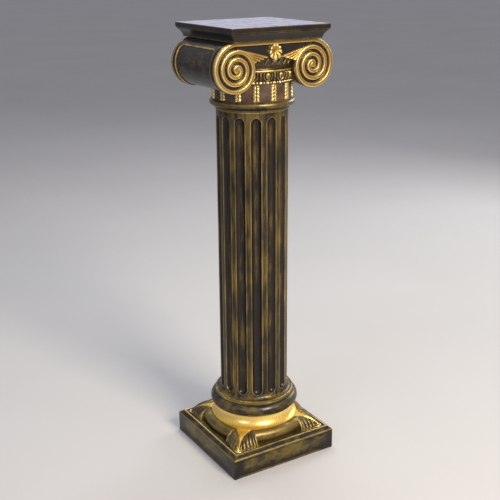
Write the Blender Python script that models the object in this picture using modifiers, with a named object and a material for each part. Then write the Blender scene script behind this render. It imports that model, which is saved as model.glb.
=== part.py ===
# Column plant stand: a square plinth with corner-clasped rolls, a fluted shaft and a volute capital.
# Metres, +Z up. The origin is the middle of the underside, and the front faces -Y.

import math

import bmesh
import bpy
from mathutils import Matrix, Vector

# Plinth
PLINTH_SIDE = 0.2884
PLINTH_HEIGHT = 0.0515
RIM_INSET = 0.0115
RIM_RISE = 0.0080
RIM_WIDTH = 0.0014
FLOOR_DROP = 0.0030

# Turned mouldings of the base, upwards from the plinth's sunk floor
SKIRT_RADIUS = 0.1120
SKIRT_FOOT_RADIUS = 0.1040
SKIRT_HEIGHT = 0.0285
THROAT_RADIUS = 0.0900
SCOTIA_HEIGHT = 0.0255
FILLET_RADIUS = 0.0950
FILLET_HEIGHT = 0.0050
TORUS_RADIUS = 0.1095
TORUS_BEAD = 0.0155
RING_RADIUS = 0.0980
RING_HEIGHT = 0.0055

# Rolls along the plinth's sides, a leaf over each end of a roll, and a spur in each corner
ROLL_BEAD = 0.0155
ROLL_REACH = 0.1070
ROLL_BOW = 0.1820
ROLL_HALF_LENGTH = 0.0600
ROLL_TAIL = 0.0060
ROLL_SINK = 0.0012
LEAF_RISE = 0.0168
LEAF_TUCK = 0.0050
LEAF_TOP_SWEEP = 1.3
LEAF_TOP_FALL = 3
LEAF_LOBES = 4
LOBE_DEPTH = 0.0030
LEAF_REACH = 0.1235
LEAF_FIRST_TIP = 0.0640
LEAF_LAST_TIP = 0.1190
LEAF_TIP_HEIGHT = 0.0035
LEAF_NOTCH = 0.14
SPUR_ROOT = 0.1120
SPUR_ROOT_BEAD = 0.0210
SPUR_TIP_BEAD = 0.0032
SPUR_TIP_HEIGHT = 0.0080
SPUR_MARGIN = 0.0110
SPUR_TAPER = 1.5
SPUR_FALL = 2.4
CURL_BEAD = 0.0050
CURL_MARGIN = 0.0070

# Shaft
SEAM_GAP = 0.0003
SHAFT_RADIUS = 0.0835
SHAFT_LENGTH = 0.7099
FOOT_RADIUS = 0.0970
FOOT_HEIGHT = 0.0035
FOOT_FLARE = 0.0130
FOOT_LIP = 0.0017
FLUTE_COUNT = 14
FLUTE_RADIUS = 0.0125
FLUTE_OFFSET = 0.0030
FLUTE_FOOT = 0.0142
FLUTE_HEAD = 0.0132

# Turned mouldings of the capital, upwards from its seam
COLLARINO_RADIUS = 0.0856
COLLARINO_HEIGHT = 0.0055
ASTRAGAL_RADIUS = 0.0978
ASTRAGAL_BEAD = 0.0078
ASTRAGAL_GAP = 0.0017
NECK_RADIUS = 0.0920
NECK_HEIGHT = 0.0400
BEAD_ROW_RADIUS = 0.0936
BEAD_ROW_HEIGHT = 0.0058
EGG_ROW_RADIUS = 0.0952
EGG_ROW_HEIGHT = 0.0192
CREST_RADIUS = 0.0966
CREST_HEIGHT = 0.0055
COVE_RADIUS = 0.0935
COVE_HEIGHT = 0.0090
LEAF_ROW_RADIUS = 0.0985
LEAF_ROW_HEIGHT = 0.0150

# Ornament of the capital
STRIP_WIDTH = 0.0136
STRIP_HEIGHT = 0.0350
STRIP_RISE = 0.0024
STRIP_GAP = 0.0023
STRIP_SCALLOPS = 4
SCALLOP_DEPTH = 0.0020
EGG_COUNT = 18
EGG_WIDTH = 0.0150
EGG_RISE = 0.0036
DART_WIDTH = 0.0050
DART_RISE = 0.0026

# Volutes, rolls between them and the face between the volutes
EYE_RISE = 0.0985
EYE_SPREAD = 0.0985
VOLUTE_RADIUS = 0.0590
VOLUTE_PITCH = 0.0156
VOLUTE_TURNS = 2.75
BAND_WIDTH = 0.0086
BAND_RISE = 0.0043
BAND_BEVEL = 0.0024
BAND_SETBACK = 0.0008
EYE_RADIUS = 0.0085
FACE_REACH = 0.0972
RIM_DEPTH = 0.0200
RIM_GROOVE = 0.0022
RIM_RIDGE = 0.0060
ROLL_RECESS = 0.0028
SHOULDER_INSET = 0.0006
SHOULDER_START = 0.104
SHOULDER_END = 0.114
FACE_RECESS = 0.0032
CANALIS_DROP = 0.0450
WING_LOBES = 4
WING_DEPTH = 0.0026
WING_RIDGE = 0.0022
WING_NOTCH = 0.06
WING_UPPER_ROOT = (-0.1012, 0.0440)
WING_LOWER_ROOT = (-0.0880, 0.0350)
WING_UPPER_TIP = (-0.0150, 0.0200)
WING_LOWER_TIP = (-0.0530, 0.0110)
ROSETTE_RADIUS = 0.0165
ROSETTE_DROP = 0.0250
ROSETTE_TAIL = 0.0225
PETAL_COUNT = 9
PETAL_NOTCH = 0.80
PETAL_SHOULDER = 0.22
PETAL_EDGE = 0.0022
PETAL_RISE = 0.0048
BOSS = 0.0050
BOSS_RISE = 0.0026

# Top plate
PLATE_SIDE = 0.2526
PLATE_FASCIA = 0.0113
PLATE_STEP = 0.0022
PLATE_STEP_HEIGHT = 0.0020
PLATE_NECK_INSET = 0.0128
PLATE_COVE_HEIGHT = 0.0171
PLATE_COVE_HOLLOW = 0.0022
PLATE_BITE = 0.0004

# Faceting
TURN_STEPS = 2 * FLUTE_COUNT
SHAFT_STEPS = 3 * FLUTE_COUNT
FLUTE_STEPS = 10
ROLL_STEPS = 7
ROLL_SIDES = 8
SPUR_STEPS = 3
LEAF_STEPS = 4
WING_STEPS = 3
COVE_STEPS = 3
VOLUTE_STEPS = 16
VOLUTE_INNER_STEPS = 10
OVERLAP = 0.0020
FLAT_ANGLE = 0.5

# Levels that follow from the sizes above
FLOOR_Z = PLINTH_HEIGHT + RIM_RISE - FLOOR_DROP
BASE_TOP = FLOOR_Z + SKIRT_HEIGHT + SCOTIA_HEIGHT + FILLET_HEIGHT + 2 * TORUS_BEAD + RING_HEIGHT
SHAFT_FOOT = BASE_TOP + SEAM_GAP
SHAFT_TOP = SHAFT_FOOT + SHAFT_LENGTH
CAPITAL_FOOT = SHAFT_TOP + SEAM_GAP
NECK_FOOT = CAPITAL_FOOT + COLLARINO_HEIGHT + ASTRAGAL_GAP + 2 * ASTRAGAL_BEAD
EGG_ROW_FOOT = NECK_FOOT + NECK_HEIGHT + BEAD_ROW_HEIGHT
EYE_Z = CAPITAL_FOOT + EYE_RISE
BAND_TOP = EYE_Z + VOLUTE_RADIUS
PLATE_FOOT = BAND_TOP - PLATE_BITE


def clear_scene():
    for item in list(bpy.data.objects):
        bpy.data.objects.remove(item, do_unlink=True)


def new_collection(name):
    collection = bpy.data.collections.new(name)
    bpy.context.scene.collection.children.link(collection)
    return collection


def finish_material(name, colour, roughness, metallic):
    material = bpy.data.materials.new(name)
    material.use_nodes = True
    shader = material.node_tree.nodes["Principled BSDF"]
    shader.inputs["Base Color"].default_value = (*colour, 1.0)
    shader.inputs["Roughness"].default_value = roughness
    shader.inputs["Metallic"].default_value = metallic
    return material


def add_object(name, mesh, collection):
    item = bpy.data.objects.new(name, mesh)
    collection.objects.link(item)
    return item


def add_helper(name, mesh, collection):
    """A piece that a Boolean uses and a render leaves out."""
    item = add_object(name, mesh, collection)
    item.hide_render = True
    item.display_type = "WIRE"
    return item


def arc(centre_r, centre_z, radius_r, radius_z, start, end, steps):
    """Points of an elliptical arc in a profile, with angles in degrees from +X towards +Z."""
    angles = [math.radians(start + (end - start) * i / steps) for i in range(steps + 1)]
    return [(centre_r + radius_r * math.cos(a), centre_z + radius_z * math.sin(a)) for a in angles]


def profile_mesh(name, points):
    """An open chain of points in the XZ plane, for a Screw to turn."""
    shape = bmesh.new()
    chain = [shape.verts.new((r, 0.0, z)) for r, z in points]
    for first, second in zip(chain, chain[1:]):
        shape.edges.new((first, second))
    mesh = bpy.data.meshes.new(name)
    shape.to_mesh(mesh)
    shape.free()
    return mesh


def add_screw(item, steps):
    screw = item.modifiers.new("turn", "SCREW")
    screw.axis = "Z"
    screw.angle = math.tau
    screw.steps = steps
    screw.render_steps = steps
    screw.use_merge_vertices = True
    screw.merge_threshold = 0.00001


def turned(name, points, collection, steps=TURN_STEPS):
    """A turned solid from a profile that runs down its outer side, closed on the axis at both ends."""
    closed = [(0.0, points[0][1]), *points, (0.0, points[-1][1])]
    item = add_object(name, profile_mesh(name, closed), collection)
    add_screw(item, steps)
    return item


def square_moulding(name, points, collection):
    """A square solid whose profile gives half its side at each height."""
    corners = [(r * math.sqrt(2), z) for r, z in points]
    item = turned(name, corners, collection, steps=4)
    item.rotation_euler.z = math.radians(45)
    item.hide_render = True
    item.display_type = "WIRE"
    return item


def curve_mesh(name, curve):
    """The mesh of a curve in flat triangles, with its caps welded on. The curve itself is removed."""
    source = bpy.data.objects.new(name, curve)
    bpy.context.scene.collection.objects.link(source)
    bpy.context.view_layer.update()
    graph = bpy.context.evaluated_depsgraph_get()
    mesh = bpy.data.meshes.new_from_object(source.evaluated_get(graph))
    bpy.data.objects.remove(source, do_unlink=True)
    bpy.data.curves.remove(curve)
    shape = bmesh.new()
    shape.from_mesh(mesh)
    bmesh.ops.remove_doubles(shape, verts=shape.verts, dist=0.00001)
    bmesh.ops.triangulate(shape, faces=shape.faces)
    bmesh.ops.recalc_face_normals(shape, faces=shape.faces)
    shape.to_mesh(mesh)
    shape.free()
    mesh.name = name
    return mesh


def rod_mesh(name, points, radii, sides=6):
    """A round rod through the points, with its own radius at each of them."""
    curve = bpy.data.curves.new(name, "CURVE")
    curve.dimensions = "3D"
    curve.bevel_depth = 1.0
    curve.bevel_resolution = (sides - 4) // 2
    curve.use_fill_caps = True
    spline = curve.splines.new("POLY")
    spline.points.add(len(points) - 1)
    for point, place, radius in zip(spline.points, points, radii):
        point.co = (*place, 1.0)
        point.radius = radius
    return curve_mesh(name, curve)


def plate_mesh(name, outline, front, back):
    """A flat outline of (x, z) points made a plate between two depths along Y."""
    curve = bpy.data.curves.new(name, "CURVE")
    curve.dimensions = "2D"
    curve.fill_mode = "BOTH"
    curve.extrude = (back - front) / 2
    spline = curve.splines.new("POLY")
    spline.points.add(len(outline) - 1)
    for point, (x, z) in zip(spline.points, outline):
        point.co = (x, z, 0.0, 1.0)
    spline.use_cyclic_u = True
    mesh = curve_mesh(name, curve)
    upright = Matrix.Rotation(math.radians(90), 4, "X")
    mesh.transform(Matrix.Translation((0.0, (front + back) / 2, 0.0)) @ upright)
    return mesh


def relief_mesh(name, rows, axis, level):
    """A closed body: a grid of points for its face, walls from its border and a flat back across an axis."""
    shape = bmesh.new()
    grid = [[shape.verts.new(point) for point in row] for row in rows]
    for first, second in zip(grid, grid[1:]):
        for a, b, c, d in zip(first, first[1:], second[1:], second):
            shape.faces.new((a, b, c, d))
    border = grid[0] + [row[-1] for row in grid[1:-1]]
    border += grid[-1][::-1] + [row[0] for row in grid[-2:0:-1]]
    back = []
    for vertex in border:
        place = vertex.co.copy()
        place[axis] = level
        back.append(shape.verts.new(place))
    for i in range(len(border)):
        shape.faces.new((border[i - 1], border[i], back[i], back[i - 1]))
    shape.faces.new(back)
    return finished_mesh(name, shape)


def tube_mesh(name, rings):
    """A closed body through rings of points, each with a flat cap at its ends."""
    shape = bmesh.new()
    loops = [[shape.verts.new(point) for point in ring] for ring in rings]
    for first, second in zip(loops, loops[1:]):
        for i in range(len(first)):
            shape.faces.new((first[i - 1], first[i], second[i], second[i - 1]))
    shape.faces.new(loops[0])
    shape.faces.new(loops[-1])
    return finished_mesh(name, shape)


def finished_mesh(name, shape):
    bmesh.ops.triangulate(shape, faces=shape.faces)
    bmesh.ops.recalc_face_normals(shape, faces=shape.faces)
    mesh = bpy.data.meshes.new(name)
    shape.to_mesh(mesh)
    shape.free()
    return mesh


def ellipsoid_mesh(name, radii, sides, rings):
    shape = bmesh.new()
    bmesh.ops.create_uvsphere(shape, u_segments=sides, v_segments=rings, radius=1.0)
    bmesh.ops.scale(shape, vec=radii, verts=shape.verts)
    mesh = bpy.data.meshes.new(name)
    shape.to_mesh(mesh)
    shape.free()
    return mesh


def placed(mesh, matrix):
    """A copy of the mesh moved by the matrix, its faces turned back where the matrix mirrors."""
    copy = mesh.copy()
    copy.transform(matrix)
    if matrix.determinant() < 0:
        copy.flip_normals()
    return copy


def mirrored(name, mesh, signs, collection):
    """Copies of a mesh, one for each pair of signs of X and Y."""
    for x, y in signs:
        matrix = Matrix.Diagonal((x, y, 1.0, 1.0))
        add_helper(name, placed(mesh, matrix), collection)


def turned_copies(name, mesh, angles, collection):
    """Copies of a mesh that faces -Y, turned about the axis."""
    for angle in angles:
        matrix = Matrix.Rotation(math.radians(angle), 4, "Z")
        add_helper(name, placed(mesh, matrix), collection)


def join_pieces(item, pieces):
    union = item.modifiers.new("pieces", "BOOLEAN")
    union.operation = "UNION"
    union.solver = "EXACT"
    union.operand_type = "COLLECTION"
    union.collection = pieces


def outer_shell(mesh):
    """The outermost surface alone, so that a pocket sealed between joined pieces is solid."""
    shape = bmesh.new()
    shape.from_mesh(mesh)
    waiting = set(shape.verts)
    shells = []
    while waiting:
        edge_of_shell = [waiting.pop()]
        shell = set(edge_of_shell)
        while edge_of_shell:
            near = {edge.other_vert(v) for v in edge_of_shell for edge in v.link_edges}
            edge_of_shell = list(near - shell)
            shell |= near
        waiting -= shell
        shells.append(shell)
    outer = max(shells, key=lambda shell: max(v.co.length for v in shell))
    bmesh.ops.delete(shape, geom=[v for v in shape.verts if v not in outer], context="VERTS")
    shape.to_mesh(mesh)
    shape.free()


def merge_flats(mesh):
    """Faces that lie in one plane become one, so that joining leaves no needless cuts."""
    shape = bmesh.new()
    shape.from_mesh(mesh)
    flat = math.radians(FLAT_ANGLE)
    bmesh.ops.dissolve_limit(shape, angle_limit=flat, verts=shape.verts, edges=shape.edges)
    bmesh.ops.triangulate(shape, faces=shape.faces)
    shape.to_mesh(mesh)
    shape.free()


def shade(item, angle=35):
    """The evaluated mesh takes the place of the modifiers, smooth but for its sharp edges."""
    bpy.context.view_layer.update()
    graph = bpy.context.evaluated_depsgraph_get()
    mesh = bpy.data.meshes.new_from_object(item.evaluated_get(graph))
    item.modifiers.clear()
    item.data = mesh
    mesh.name = item.name
    outer_shell(mesh)
    merge_flats(mesh)
    mesh.shade_smooth()
    mesh.set_sharp_from_angle(angle=math.radians(angle))


# Base


def roll_point(along):
    """The front roll's centre line: a shallow arc, bowed outwards, at a distance along X."""
    bow = ROLL_BOW - math.sqrt(ROLL_BOW**2 - along**2)
    return Vector((along, bow - ROLL_REACH, FLOOR_Z + ROLL_BEAD - ROLL_SINK))


def roll_mesh():
    reach = ROLL_HALF_LENGTH + ROLL_TAIL
    points = [roll_point(reach * (2 * i / ROLL_STEPS - 1)) for i in range(ROLL_STEPS + 1)]
    return rod_mesh("roll", points, [ROLL_BEAD] * len(points), sides=ROLL_SIDES)


def corner_point(margin, height):
    """A point above the sunk floor on the front right diagonal, at a margin from the rim."""
    reach = PLINTH_SIDE / 2 - RIM_INSET - margin
    return Vector((reach, -reach, FLOOR_Z + height))


def leaf_top(across):
    """The leaf's upper line, from the crest of the roll's end to just past the corner's diagonal."""
    start = roll_point(ROLL_HALF_LENGTH) + Vector((0.0, LEAF_TUCK, LEAF_RISE))
    end = corner_point(SPUR_MARGIN + CURL_MARGIN, LEAF_TIP_HEIGHT) + Vector((0.0, OVERLAP, 0.0))
    return Vector((
        start.x + (end.x - start.x) * across,
        start.y + (end.y - start.y) * across**LEAF_TOP_SWEEP,
        start.z + (end.z - start.z) * across**LEAF_TOP_FALL,
    ))


def leaf_mesh():
    """A lobed leaf over the front roll's right end: level at its upper line, steep at its toes."""
    columns = 2 * LEAF_LOBES
    rows = []
    for step in range(LEAF_STEPS + 1):
        along = step / LEAF_STEPS
        row = []
        for i in range(columns + 1):
            across = i / columns
            groove = 1 - i % 2
            turn = math.pi / 2 * along * (1 - LEAF_NOTCH * groove * along**2)
            top = leaf_top(across)
            toe_x = LEAF_FIRST_TIP + (LEAF_LAST_TIP - LEAF_FIRST_TIP) * across
            toe = Vector((toe_x, -LEAF_REACH, FLOOR_Z + LEAF_TIP_HEIGHT))
            point = top.lerp(toe, math.sin(turn))
            point.z = toe.z + (top.z - toe.z) * math.cos(turn) - LOBE_DEPTH * along * groove
            row.append(point)
        rows.append(row)
    return relief_mesh("leaf", rows, 2, FLOOR_Z - OVERLAP)


def spur_mesh():
    """The gilded ridge from the scotia to the plinth's front right corner, arched along its crest."""
    tip = corner_point(SPUR_MARGIN, SPUR_TIP_HEIGHT)
    root = SPUR_ROOT / math.sqrt(2)
    start = Vector((root, -root, FLOOR_Z + SKIRT_HEIGHT))
    points, radii = [], []
    for step in range(SPUR_STEPS + 1):
        share = step / SPUR_STEPS
        radius = SPUR_TIP_BEAD + (SPUR_ROOT_BEAD - SPUR_TIP_BEAD) * (1 - share) ** SPUR_TAPER
        point = start.lerp(tip, share)
        point.z = start.z + (tip.z - start.z) * share**SPUR_FALL - radius
        points.append(point)
        radii.append(radius)
    return rod_mesh("spur", points, radii, sides=6)


def base_profile():
    skirt = FLOOR_Z + SKIRT_HEIGHT
    throat = skirt + SCOTIA_HEIGHT
    torus_foot = throat + FILLET_HEIGHT
    torus_z = torus_foot + TORUS_BEAD
    torus_top = torus_foot + 2 * TORUS_BEAD
    inner = TORUS_RADIUS - TORUS_BEAD
    scotia = arc(SKIRT_RADIUS, throat, SKIRT_RADIUS - THROAT_RADIUS, SCOTIA_HEIGHT, 180, 270, 4)
    return [
        (RING_RADIUS, BASE_TOP),
        (RING_RADIUS, torus_top),
        *arc(inner, torus_z, TORUS_BEAD, TORUS_BEAD, 75, -75, 5),
        (FILLET_RADIUS, torus_foot),
        (FILLET_RADIUS, throat + FILLET_HEIGHT / 4),
        *scotia,
        (SKIRT_FOOT_RADIUS, FLOOR_Z - OVERLAP),
    ]


def build_base(parts, material):
    pieces = new_collection("base pieces")
    half = PLINTH_SIDE / 2
    rim = half - RIM_INSET
    plinth = [
        (rim - RIM_WIDTH - FLOOR_DROP / 2, FLOOR_Z),
        (rim - RIM_WIDTH, FLOOR_Z + FLOOR_DROP),
        (rim, FLOOR_Z + FLOOR_DROP),
        (half, PLINTH_HEIGHT),
        (half, 0.0),
    ]
    square_moulding("plinth", plinth, pieces)
    quarter_turns = (0, 90, 180, 270)
    turned_copies("roll", roll_mesh(), quarter_turns, pieces)
    turned_copies("spur", spur_mesh(), quarter_turns, pieces)
    curl = ellipsoid_mesh("curl", (CURL_BEAD, CURL_BEAD, CURL_BEAD), 6, 4)
    curl.transform(Matrix.Translation(corner_point(SPUR_MARGIN, CURL_BEAD / 2)))
    turned_copies("curl", curl, quarter_turns, pieces)
    leaf = leaf_mesh()
    turned_copies("leaf", leaf, quarter_turns, pieces)
    other_hand = placed(leaf, Matrix.Diagonal((-1.0, 1.0, 1.0, 1.0)))
    turned_copies("leaf", other_hand, quarter_turns, pieces)
    base = turned("base", base_profile(), parts)
    join_pieces(base, pieces)
    base.data.materials.append(material)
    shade(base)


# Shaft


def flute_cutter():
    """A long capsule: two half spheres and the cylinder between them, facing -Y."""
    reach = math.sqrt(FLUTE_RADIUS**2 - FLUTE_OFFSET**2)
    low = SHAFT_FOOT + FLUTE_FOOT + reach
    high = SHAFT_TOP - FLUTE_HEAD - reach
    profile = arc(0, high, FLUTE_RADIUS, FLUTE_RADIUS, 90, 0, 3)
    profile += arc(0, low, FLUTE_RADIUS, FLUTE_RADIUS, 0, -90, 3)
    return profile


def build_shaft(parts, material):
    foot = SHAFT_FOOT + FOOT_HEIGHT
    lip = FOOT_RADIUS - FOOT_LIP
    profile = [
        (SHAFT_RADIUS, SHAFT_TOP),
        *arc(lip, foot + FOOT_FLARE, lip - SHAFT_RADIUS, FOOT_FLARE, 180, 270, 4),
        (FOOT_RADIUS, foot),
        (FOOT_RADIUS, SHAFT_FOOT),
    ]
    shaft = turned("shaft", profile, parts, SHAFT_STEPS)
    cutters = new_collection("flute cutters")
    capsule = profile_mesh("flute", flute_cutter())
    for i in range(FLUTE_COUNT):
        angle = math.radians(-90) + math.tau * i / FLUTE_COUNT
        cutter = add_helper("flute", capsule, cutters)
        add_screw(cutter, FLUTE_STEPS)
        reach = SHAFT_RADIUS + FLUTE_OFFSET
        cutter.location = (reach * math.cos(angle), reach * math.sin(angle), 0.0)
        cutter.rotation_euler.z = angle
    cut = shaft.modifiers.new("flutes", "BOOLEAN")
    cut.operation = "DIFFERENCE"
    cut.solver = "EXACT"
    cut.operand_type = "COLLECTION"
    cut.collection = cutters
    shaft.data.materials.append(material)
    shade(shaft)


# Capital


def capital_profile():
    astragal_z = CAPITAL_FOOT + COLLARINO_HEIGHT + ASTRAGAL_GAP + ASTRAGAL_BEAD
    collarino_top = CAPITAL_FOOT + COLLARINO_HEIGHT
    neck_top = NECK_FOOT + NECK_HEIGHT
    egg_top = EGG_ROW_FOOT + EGG_ROW_HEIGHT
    crest_top = egg_top + CREST_HEIGHT
    cove_top = crest_top + COVE_HEIGHT
    leaf_top = cove_top + LEAF_ROW_HEIGHT
    hollow = NECK_RADIUS - (EGG_ROW_RADIUS - NECK_RADIUS) / 3
    return [
        (LEAF_ROW_RADIUS, leaf_top),
        (COVE_RADIUS, cove_top),
        (COVE_RADIUS, crest_top),
        (CREST_RADIUS, crest_top),
        (CREST_RADIUS, egg_top),
        (EGG_ROW_RADIUS, egg_top),
        (EGG_ROW_RADIUS, egg_top - EGG_ROW_HEIGHT / 3),
        (hollow, EGG_ROW_FOOT),
        (BEAD_ROW_RADIUS, EGG_ROW_FOOT),
        (BEAD_ROW_RADIUS, neck_top),
        (NECK_RADIUS, neck_top),
        (NECK_RADIUS, NECK_FOOT),
        *arc(ASTRAGAL_RADIUS - ASTRAGAL_BEAD, astragal_z, ASTRAGAL_BEAD, ASTRAGAL_BEAD, 75, -80, 5),
        (COLLARINO_RADIUS, collarino_top),
        (COLLARINO_RADIUS, CAPITAL_FOOT),
    ]


def strip_outline():
    """The upright strip between two panels of the neck, with scalloped sides."""
    bottom = NECK_FOOT + STRIP_GAP
    pitch = STRIP_HEIGHT / STRIP_SCALLOPS
    half = STRIP_WIDTH / 2
    right = []
    for i in range(STRIP_SCALLOPS):
        z = bottom + pitch * i
        right += [(half - SCALLOP_DEPTH, z), (half, z + pitch / 2)]
    right.append((half - SCALLOP_DEPTH, bottom + STRIP_HEIGHT))
    return right + [(-x, z) for x, z in reversed(right)]


def volute_radius(turns):
    """The outer edge's distance from the eye after some turns from the top."""
    return VOLUTE_RADIUS - VOLUTE_PITCH * turns


def volute_point(turns, inset):
    """A point (x, z) of the left volute, from the top round by the outer side."""
    radius = volute_radius(turns) - inset
    angle = math.tau * turns
    return (-EYE_SPREAD - radius * math.sin(angle), EYE_Z + radius * math.cos(angle))


def outline_turns():
    """Steps of the outermost turn, with two close together where the sunk panel of the roll begins."""
    steps = [i / VOLUTE_STEPS for i in range(VOLUTE_STEPS)]
    shoulder = (SHOULDER_START + SHOULDER_END) / 2
    apart = 1 / (2 * VOLUTE_STEPS)
    return sorted([t for t in steps if abs(t - shoulder) > apart] + [SHOULDER_START, SHOULDER_END])


def band_mesh():
    """The raised band: from the left eye, out round the volute, across, and into the right eye."""
    count = round((VOLUTE_TURNS - 1) * VOLUTE_INNER_STEPS)
    turns = outline_turns() + [1 + (VOLUTE_TURNS - 1) * i / count for i in range(count + 1)]
    crest = -FACE_REACH - BAND_RISE
    foot = BAND_SETBACK / 2 - FACE_REACH
    outer = BAND_SETBACK
    inner = BAND_SETBACK + BAND_WIDTH
    section = ((outer, foot), (outer + BAND_BEVEL, crest), (inner - BAND_BEVEL, crest), (inner, foot))
    left, right = [], []
    for turn in reversed(turns):
        row = [(*volute_point(turn, inset), depth) for inset, depth in section]
        left.append([(x, depth, z) for x, z, depth in row])
        right.append([(-x, depth, z) for x, z, depth in row])
    return tube_mesh("band", left + right[::-1])


def bolster_mesh():
    """The left roll between the faces: ridged rims at both ends and a sunk panel under a shoulder."""
    inner = FACE_REACH - RIM_DEPTH
    stations = (
        (FACE_REACH, 0.0),
        (FACE_REACH - RIM_RIDGE / 2, RIM_GROOVE),
        (FACE_REACH - RIM_RIDGE, 0.0),
        (inner + RIM_RIDGE, RIM_GROOVE),
        (inner + RIM_RIDGE / 2, 0.0),
        (inner, ROLL_RECESS),
    )
    both_ends = [(-y, inset) for y, inset in stations] + list(reversed(stations))
    turns = [*outline_turns(), 1.0]
    rings = []
    for y, depth in both_ends:
        ring = []
        for turn in turns:
            inset = min(depth, SHOULDER_INSET) if turn <= SHOULDER_START else depth
            x, z = volute_point(turn, inset)
            ring.append((x, y, z))
        rings.append(ring)
    return tube_mesh("bolster", rings)


def beam_mesh(low, high, depth):
    """A square beam between the volutes, from face to face."""
    half = EYE_SPREAD + OVERLAP
    outline = [(-half, low), (half, low), (half, high), (-half, high)]
    return plate_mesh("beam", outline, -depth, depth)


def wing_mesh():
    """The left half-palmette: ridged lobes that fan from the volute to tips beside the rosette."""
    columns = 2 * WING_LOBES
    ground = FACE_RECESS - FACE_REACH
    rows = []
    for step in range(WING_STEPS + 1):
        along = step / WING_STEPS
        row = []
        for i in range(columns + 1):
            across = i / columns
            groove = 1 - i % 2
            reach = along * (1 - WING_NOTCH * groove * along**2)
            root = Vector(WING_UPPER_ROOT).lerp(Vector(WING_LOWER_ROOT), across)
            tip = Vector(WING_UPPER_TIP).lerp(Vector(WING_LOWER_TIP), across)
            place = root.lerp(tip, reach)
            depth = ground - WING_DEPTH + WING_RIDGE * along * groove
            row.append((place.x, depth, EYE_Z + place.y))
        rows.append(row)
    return relief_mesh("wing", rows, 1, ground + OVERLAP)


def rosette_mesh():
    """The rosette: full petals round a boss, and the longer one that hangs to the echinus."""
    ground = FACE_RECESS - FACE_REACH
    centre_z = BAND_TOP - ROSETTE_DROP
    petal = math.tau / PETAL_COUNT
    shoulders = (-0.5, -PETAL_SHOULDER, PETAL_SHOULDER)
    columns = [(k + share) * petal for k in range(PETAL_COUNT) for share in shoulders]
    boss = BOSS / ROSETTE_RADIUS
    rings = ((1.0, -OVERLAP), (1.0, PETAL_EDGE), (PETAL_NOTCH, PETAL_RISE), (boss, BOSS_RISE))
    loops = []
    for share, rise in rings:
        loop = []
        for i, angle in enumerate(columns):
            radius = ROSETTE_TAIL if i in (1, 2) else ROSETTE_RADIUS
            if i % 3 == 0 and share > boss:
                radius *= PETAL_NOTCH
            x = share * radius * math.sin(angle)
            z = centre_z - share * radius * math.cos(angle)
            loop.append((x, ground - rise, z))
        loops.append(loop)
    return tube_mesh("rosette", loops)


def build_capital(parts, material):
    pieces = new_collection("capital pieces")
    four = ((1, 1), (-1, 1), (1, -1), (-1, -1))
    both_sides = ((1, 1), (-1, 1))
    both_faces = ((1, 1), (1, -1))
    plate_half = PLATE_SIDE / 2
    step_z = PLATE_FOOT + PLATE_COVE_HEIGHT
    cove_half = plate_half - PLATE_STEP
    neck_half = plate_half - PLATE_NECK_INSET
    cove = []
    for step in range(COVE_STEPS, -1, -1):
        share = step / COVE_STEPS
        hollow = 4 * PLATE_COVE_HOLLOW * share * (1 - share)
        half = neck_half + (cove_half - neck_half) * share - hollow
        cove.append((half, PLATE_FOOT + PLATE_COVE_HEIGHT * share))
    plate = [
        (plate_half, step_z + PLATE_STEP_HEIGHT + PLATE_FASCIA),
        (plate_half, step_z + PLATE_STEP_HEIGHT),
        (cove_half, step_z + PLATE_STEP_HEIGHT),
        *cove,
    ]
    square_moulding("top plate", plate, pieces)

    mirrored("bolster", bolster_mesh(), both_sides, pieces)
    mirrored("band", band_mesh(), both_faces, pieces)
    eye = ellipsoid_mesh("eye", (EYE_RADIUS, BAND_RISE, EYE_RADIUS), 8, 4)
    eye.transform(Matrix.Translation((-EYE_SPREAD, -FACE_REACH, EYE_Z)))
    mirrored("eye", eye, four, pieces)
    lintel_foot = BAND_TOP - BAND_WIDTH
    lintel_reach = FACE_REACH - BAND_SETBACK / 4
    add_helper("lintel", beam_mesh(lintel_foot, PLATE_FOOT + OVERLAP, lintel_reach), pieces)
    ground_foot = BAND_TOP - CANALIS_DROP
    ground = beam_mesh(ground_foot, lintel_foot + OVERLAP, FACE_REACH - FACE_RECESS)
    add_helper("ground", ground, pieces)
    mirrored("wing", wing_mesh(), four, pieces)
    mirrored("rosette", rosette_mesh(), both_faces, pieces)

    strip = plate_mesh("strip", strip_outline(), -NECK_RADIUS - STRIP_RISE, OVERLAP - NECK_RADIUS)
    turned_copies("strip", strip, [360 * i / FLUTE_COUNT for i in range(FLUTE_COUNT)], pieces)
    egg_z = EGG_ROW_FOOT + EGG_ROW_HEIGHT / 2
    tall = EGG_ROW_HEIGHT / 2
    egg = ellipsoid_mesh("egg", (EGG_WIDTH / 2, EGG_RISE + OVERLAP, tall), 6, 4)
    egg.transform(Matrix.Translation((0.0, OVERLAP - NECK_RADIUS - EGG_RISE / 2, egg_z)))
    dart = ellipsoid_mesh("dart", (DART_WIDTH / 2, DART_RISE + OVERLAP, tall), 4, 4)
    dart.transform(Matrix.Translation((0.0, OVERLAP - NECK_RADIUS - EGG_RISE / 2, egg_z)))
    pitch = 360 / EGG_COUNT
    for facing in (0, 180):
        turned_copies("egg", egg, [facing + pitch * i / 2 for i in (-3, -1, 1, 3)], pieces)
        turned_copies("dart", dart, [facing + pitch * i for i in (-1, 0, 1)], pieces)
    capital = turned("capital", capital_profile(), parts)
    join_pieces(capital, pieces)
    capital.data.materials.append(material)
    shade(capital)


clear_scene()
stand = new_collection("column plant stand")
build_base(stand, finish_material("gold rubbed base patina", (0.060, 0.050, 0.026), 0.42, 0.3))
build_shaft(stand, finish_material("gold rubbed shaft patina", (0.035, 0.030, 0.022), 0.40, 0.3))
build_capital(stand, finish_material("gilded capital patina", (0.120, 0.085, 0.030), 0.40, 0.4))
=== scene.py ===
import math

import bpy
import numpy as np
from mathutils import Matrix, Vector


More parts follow.
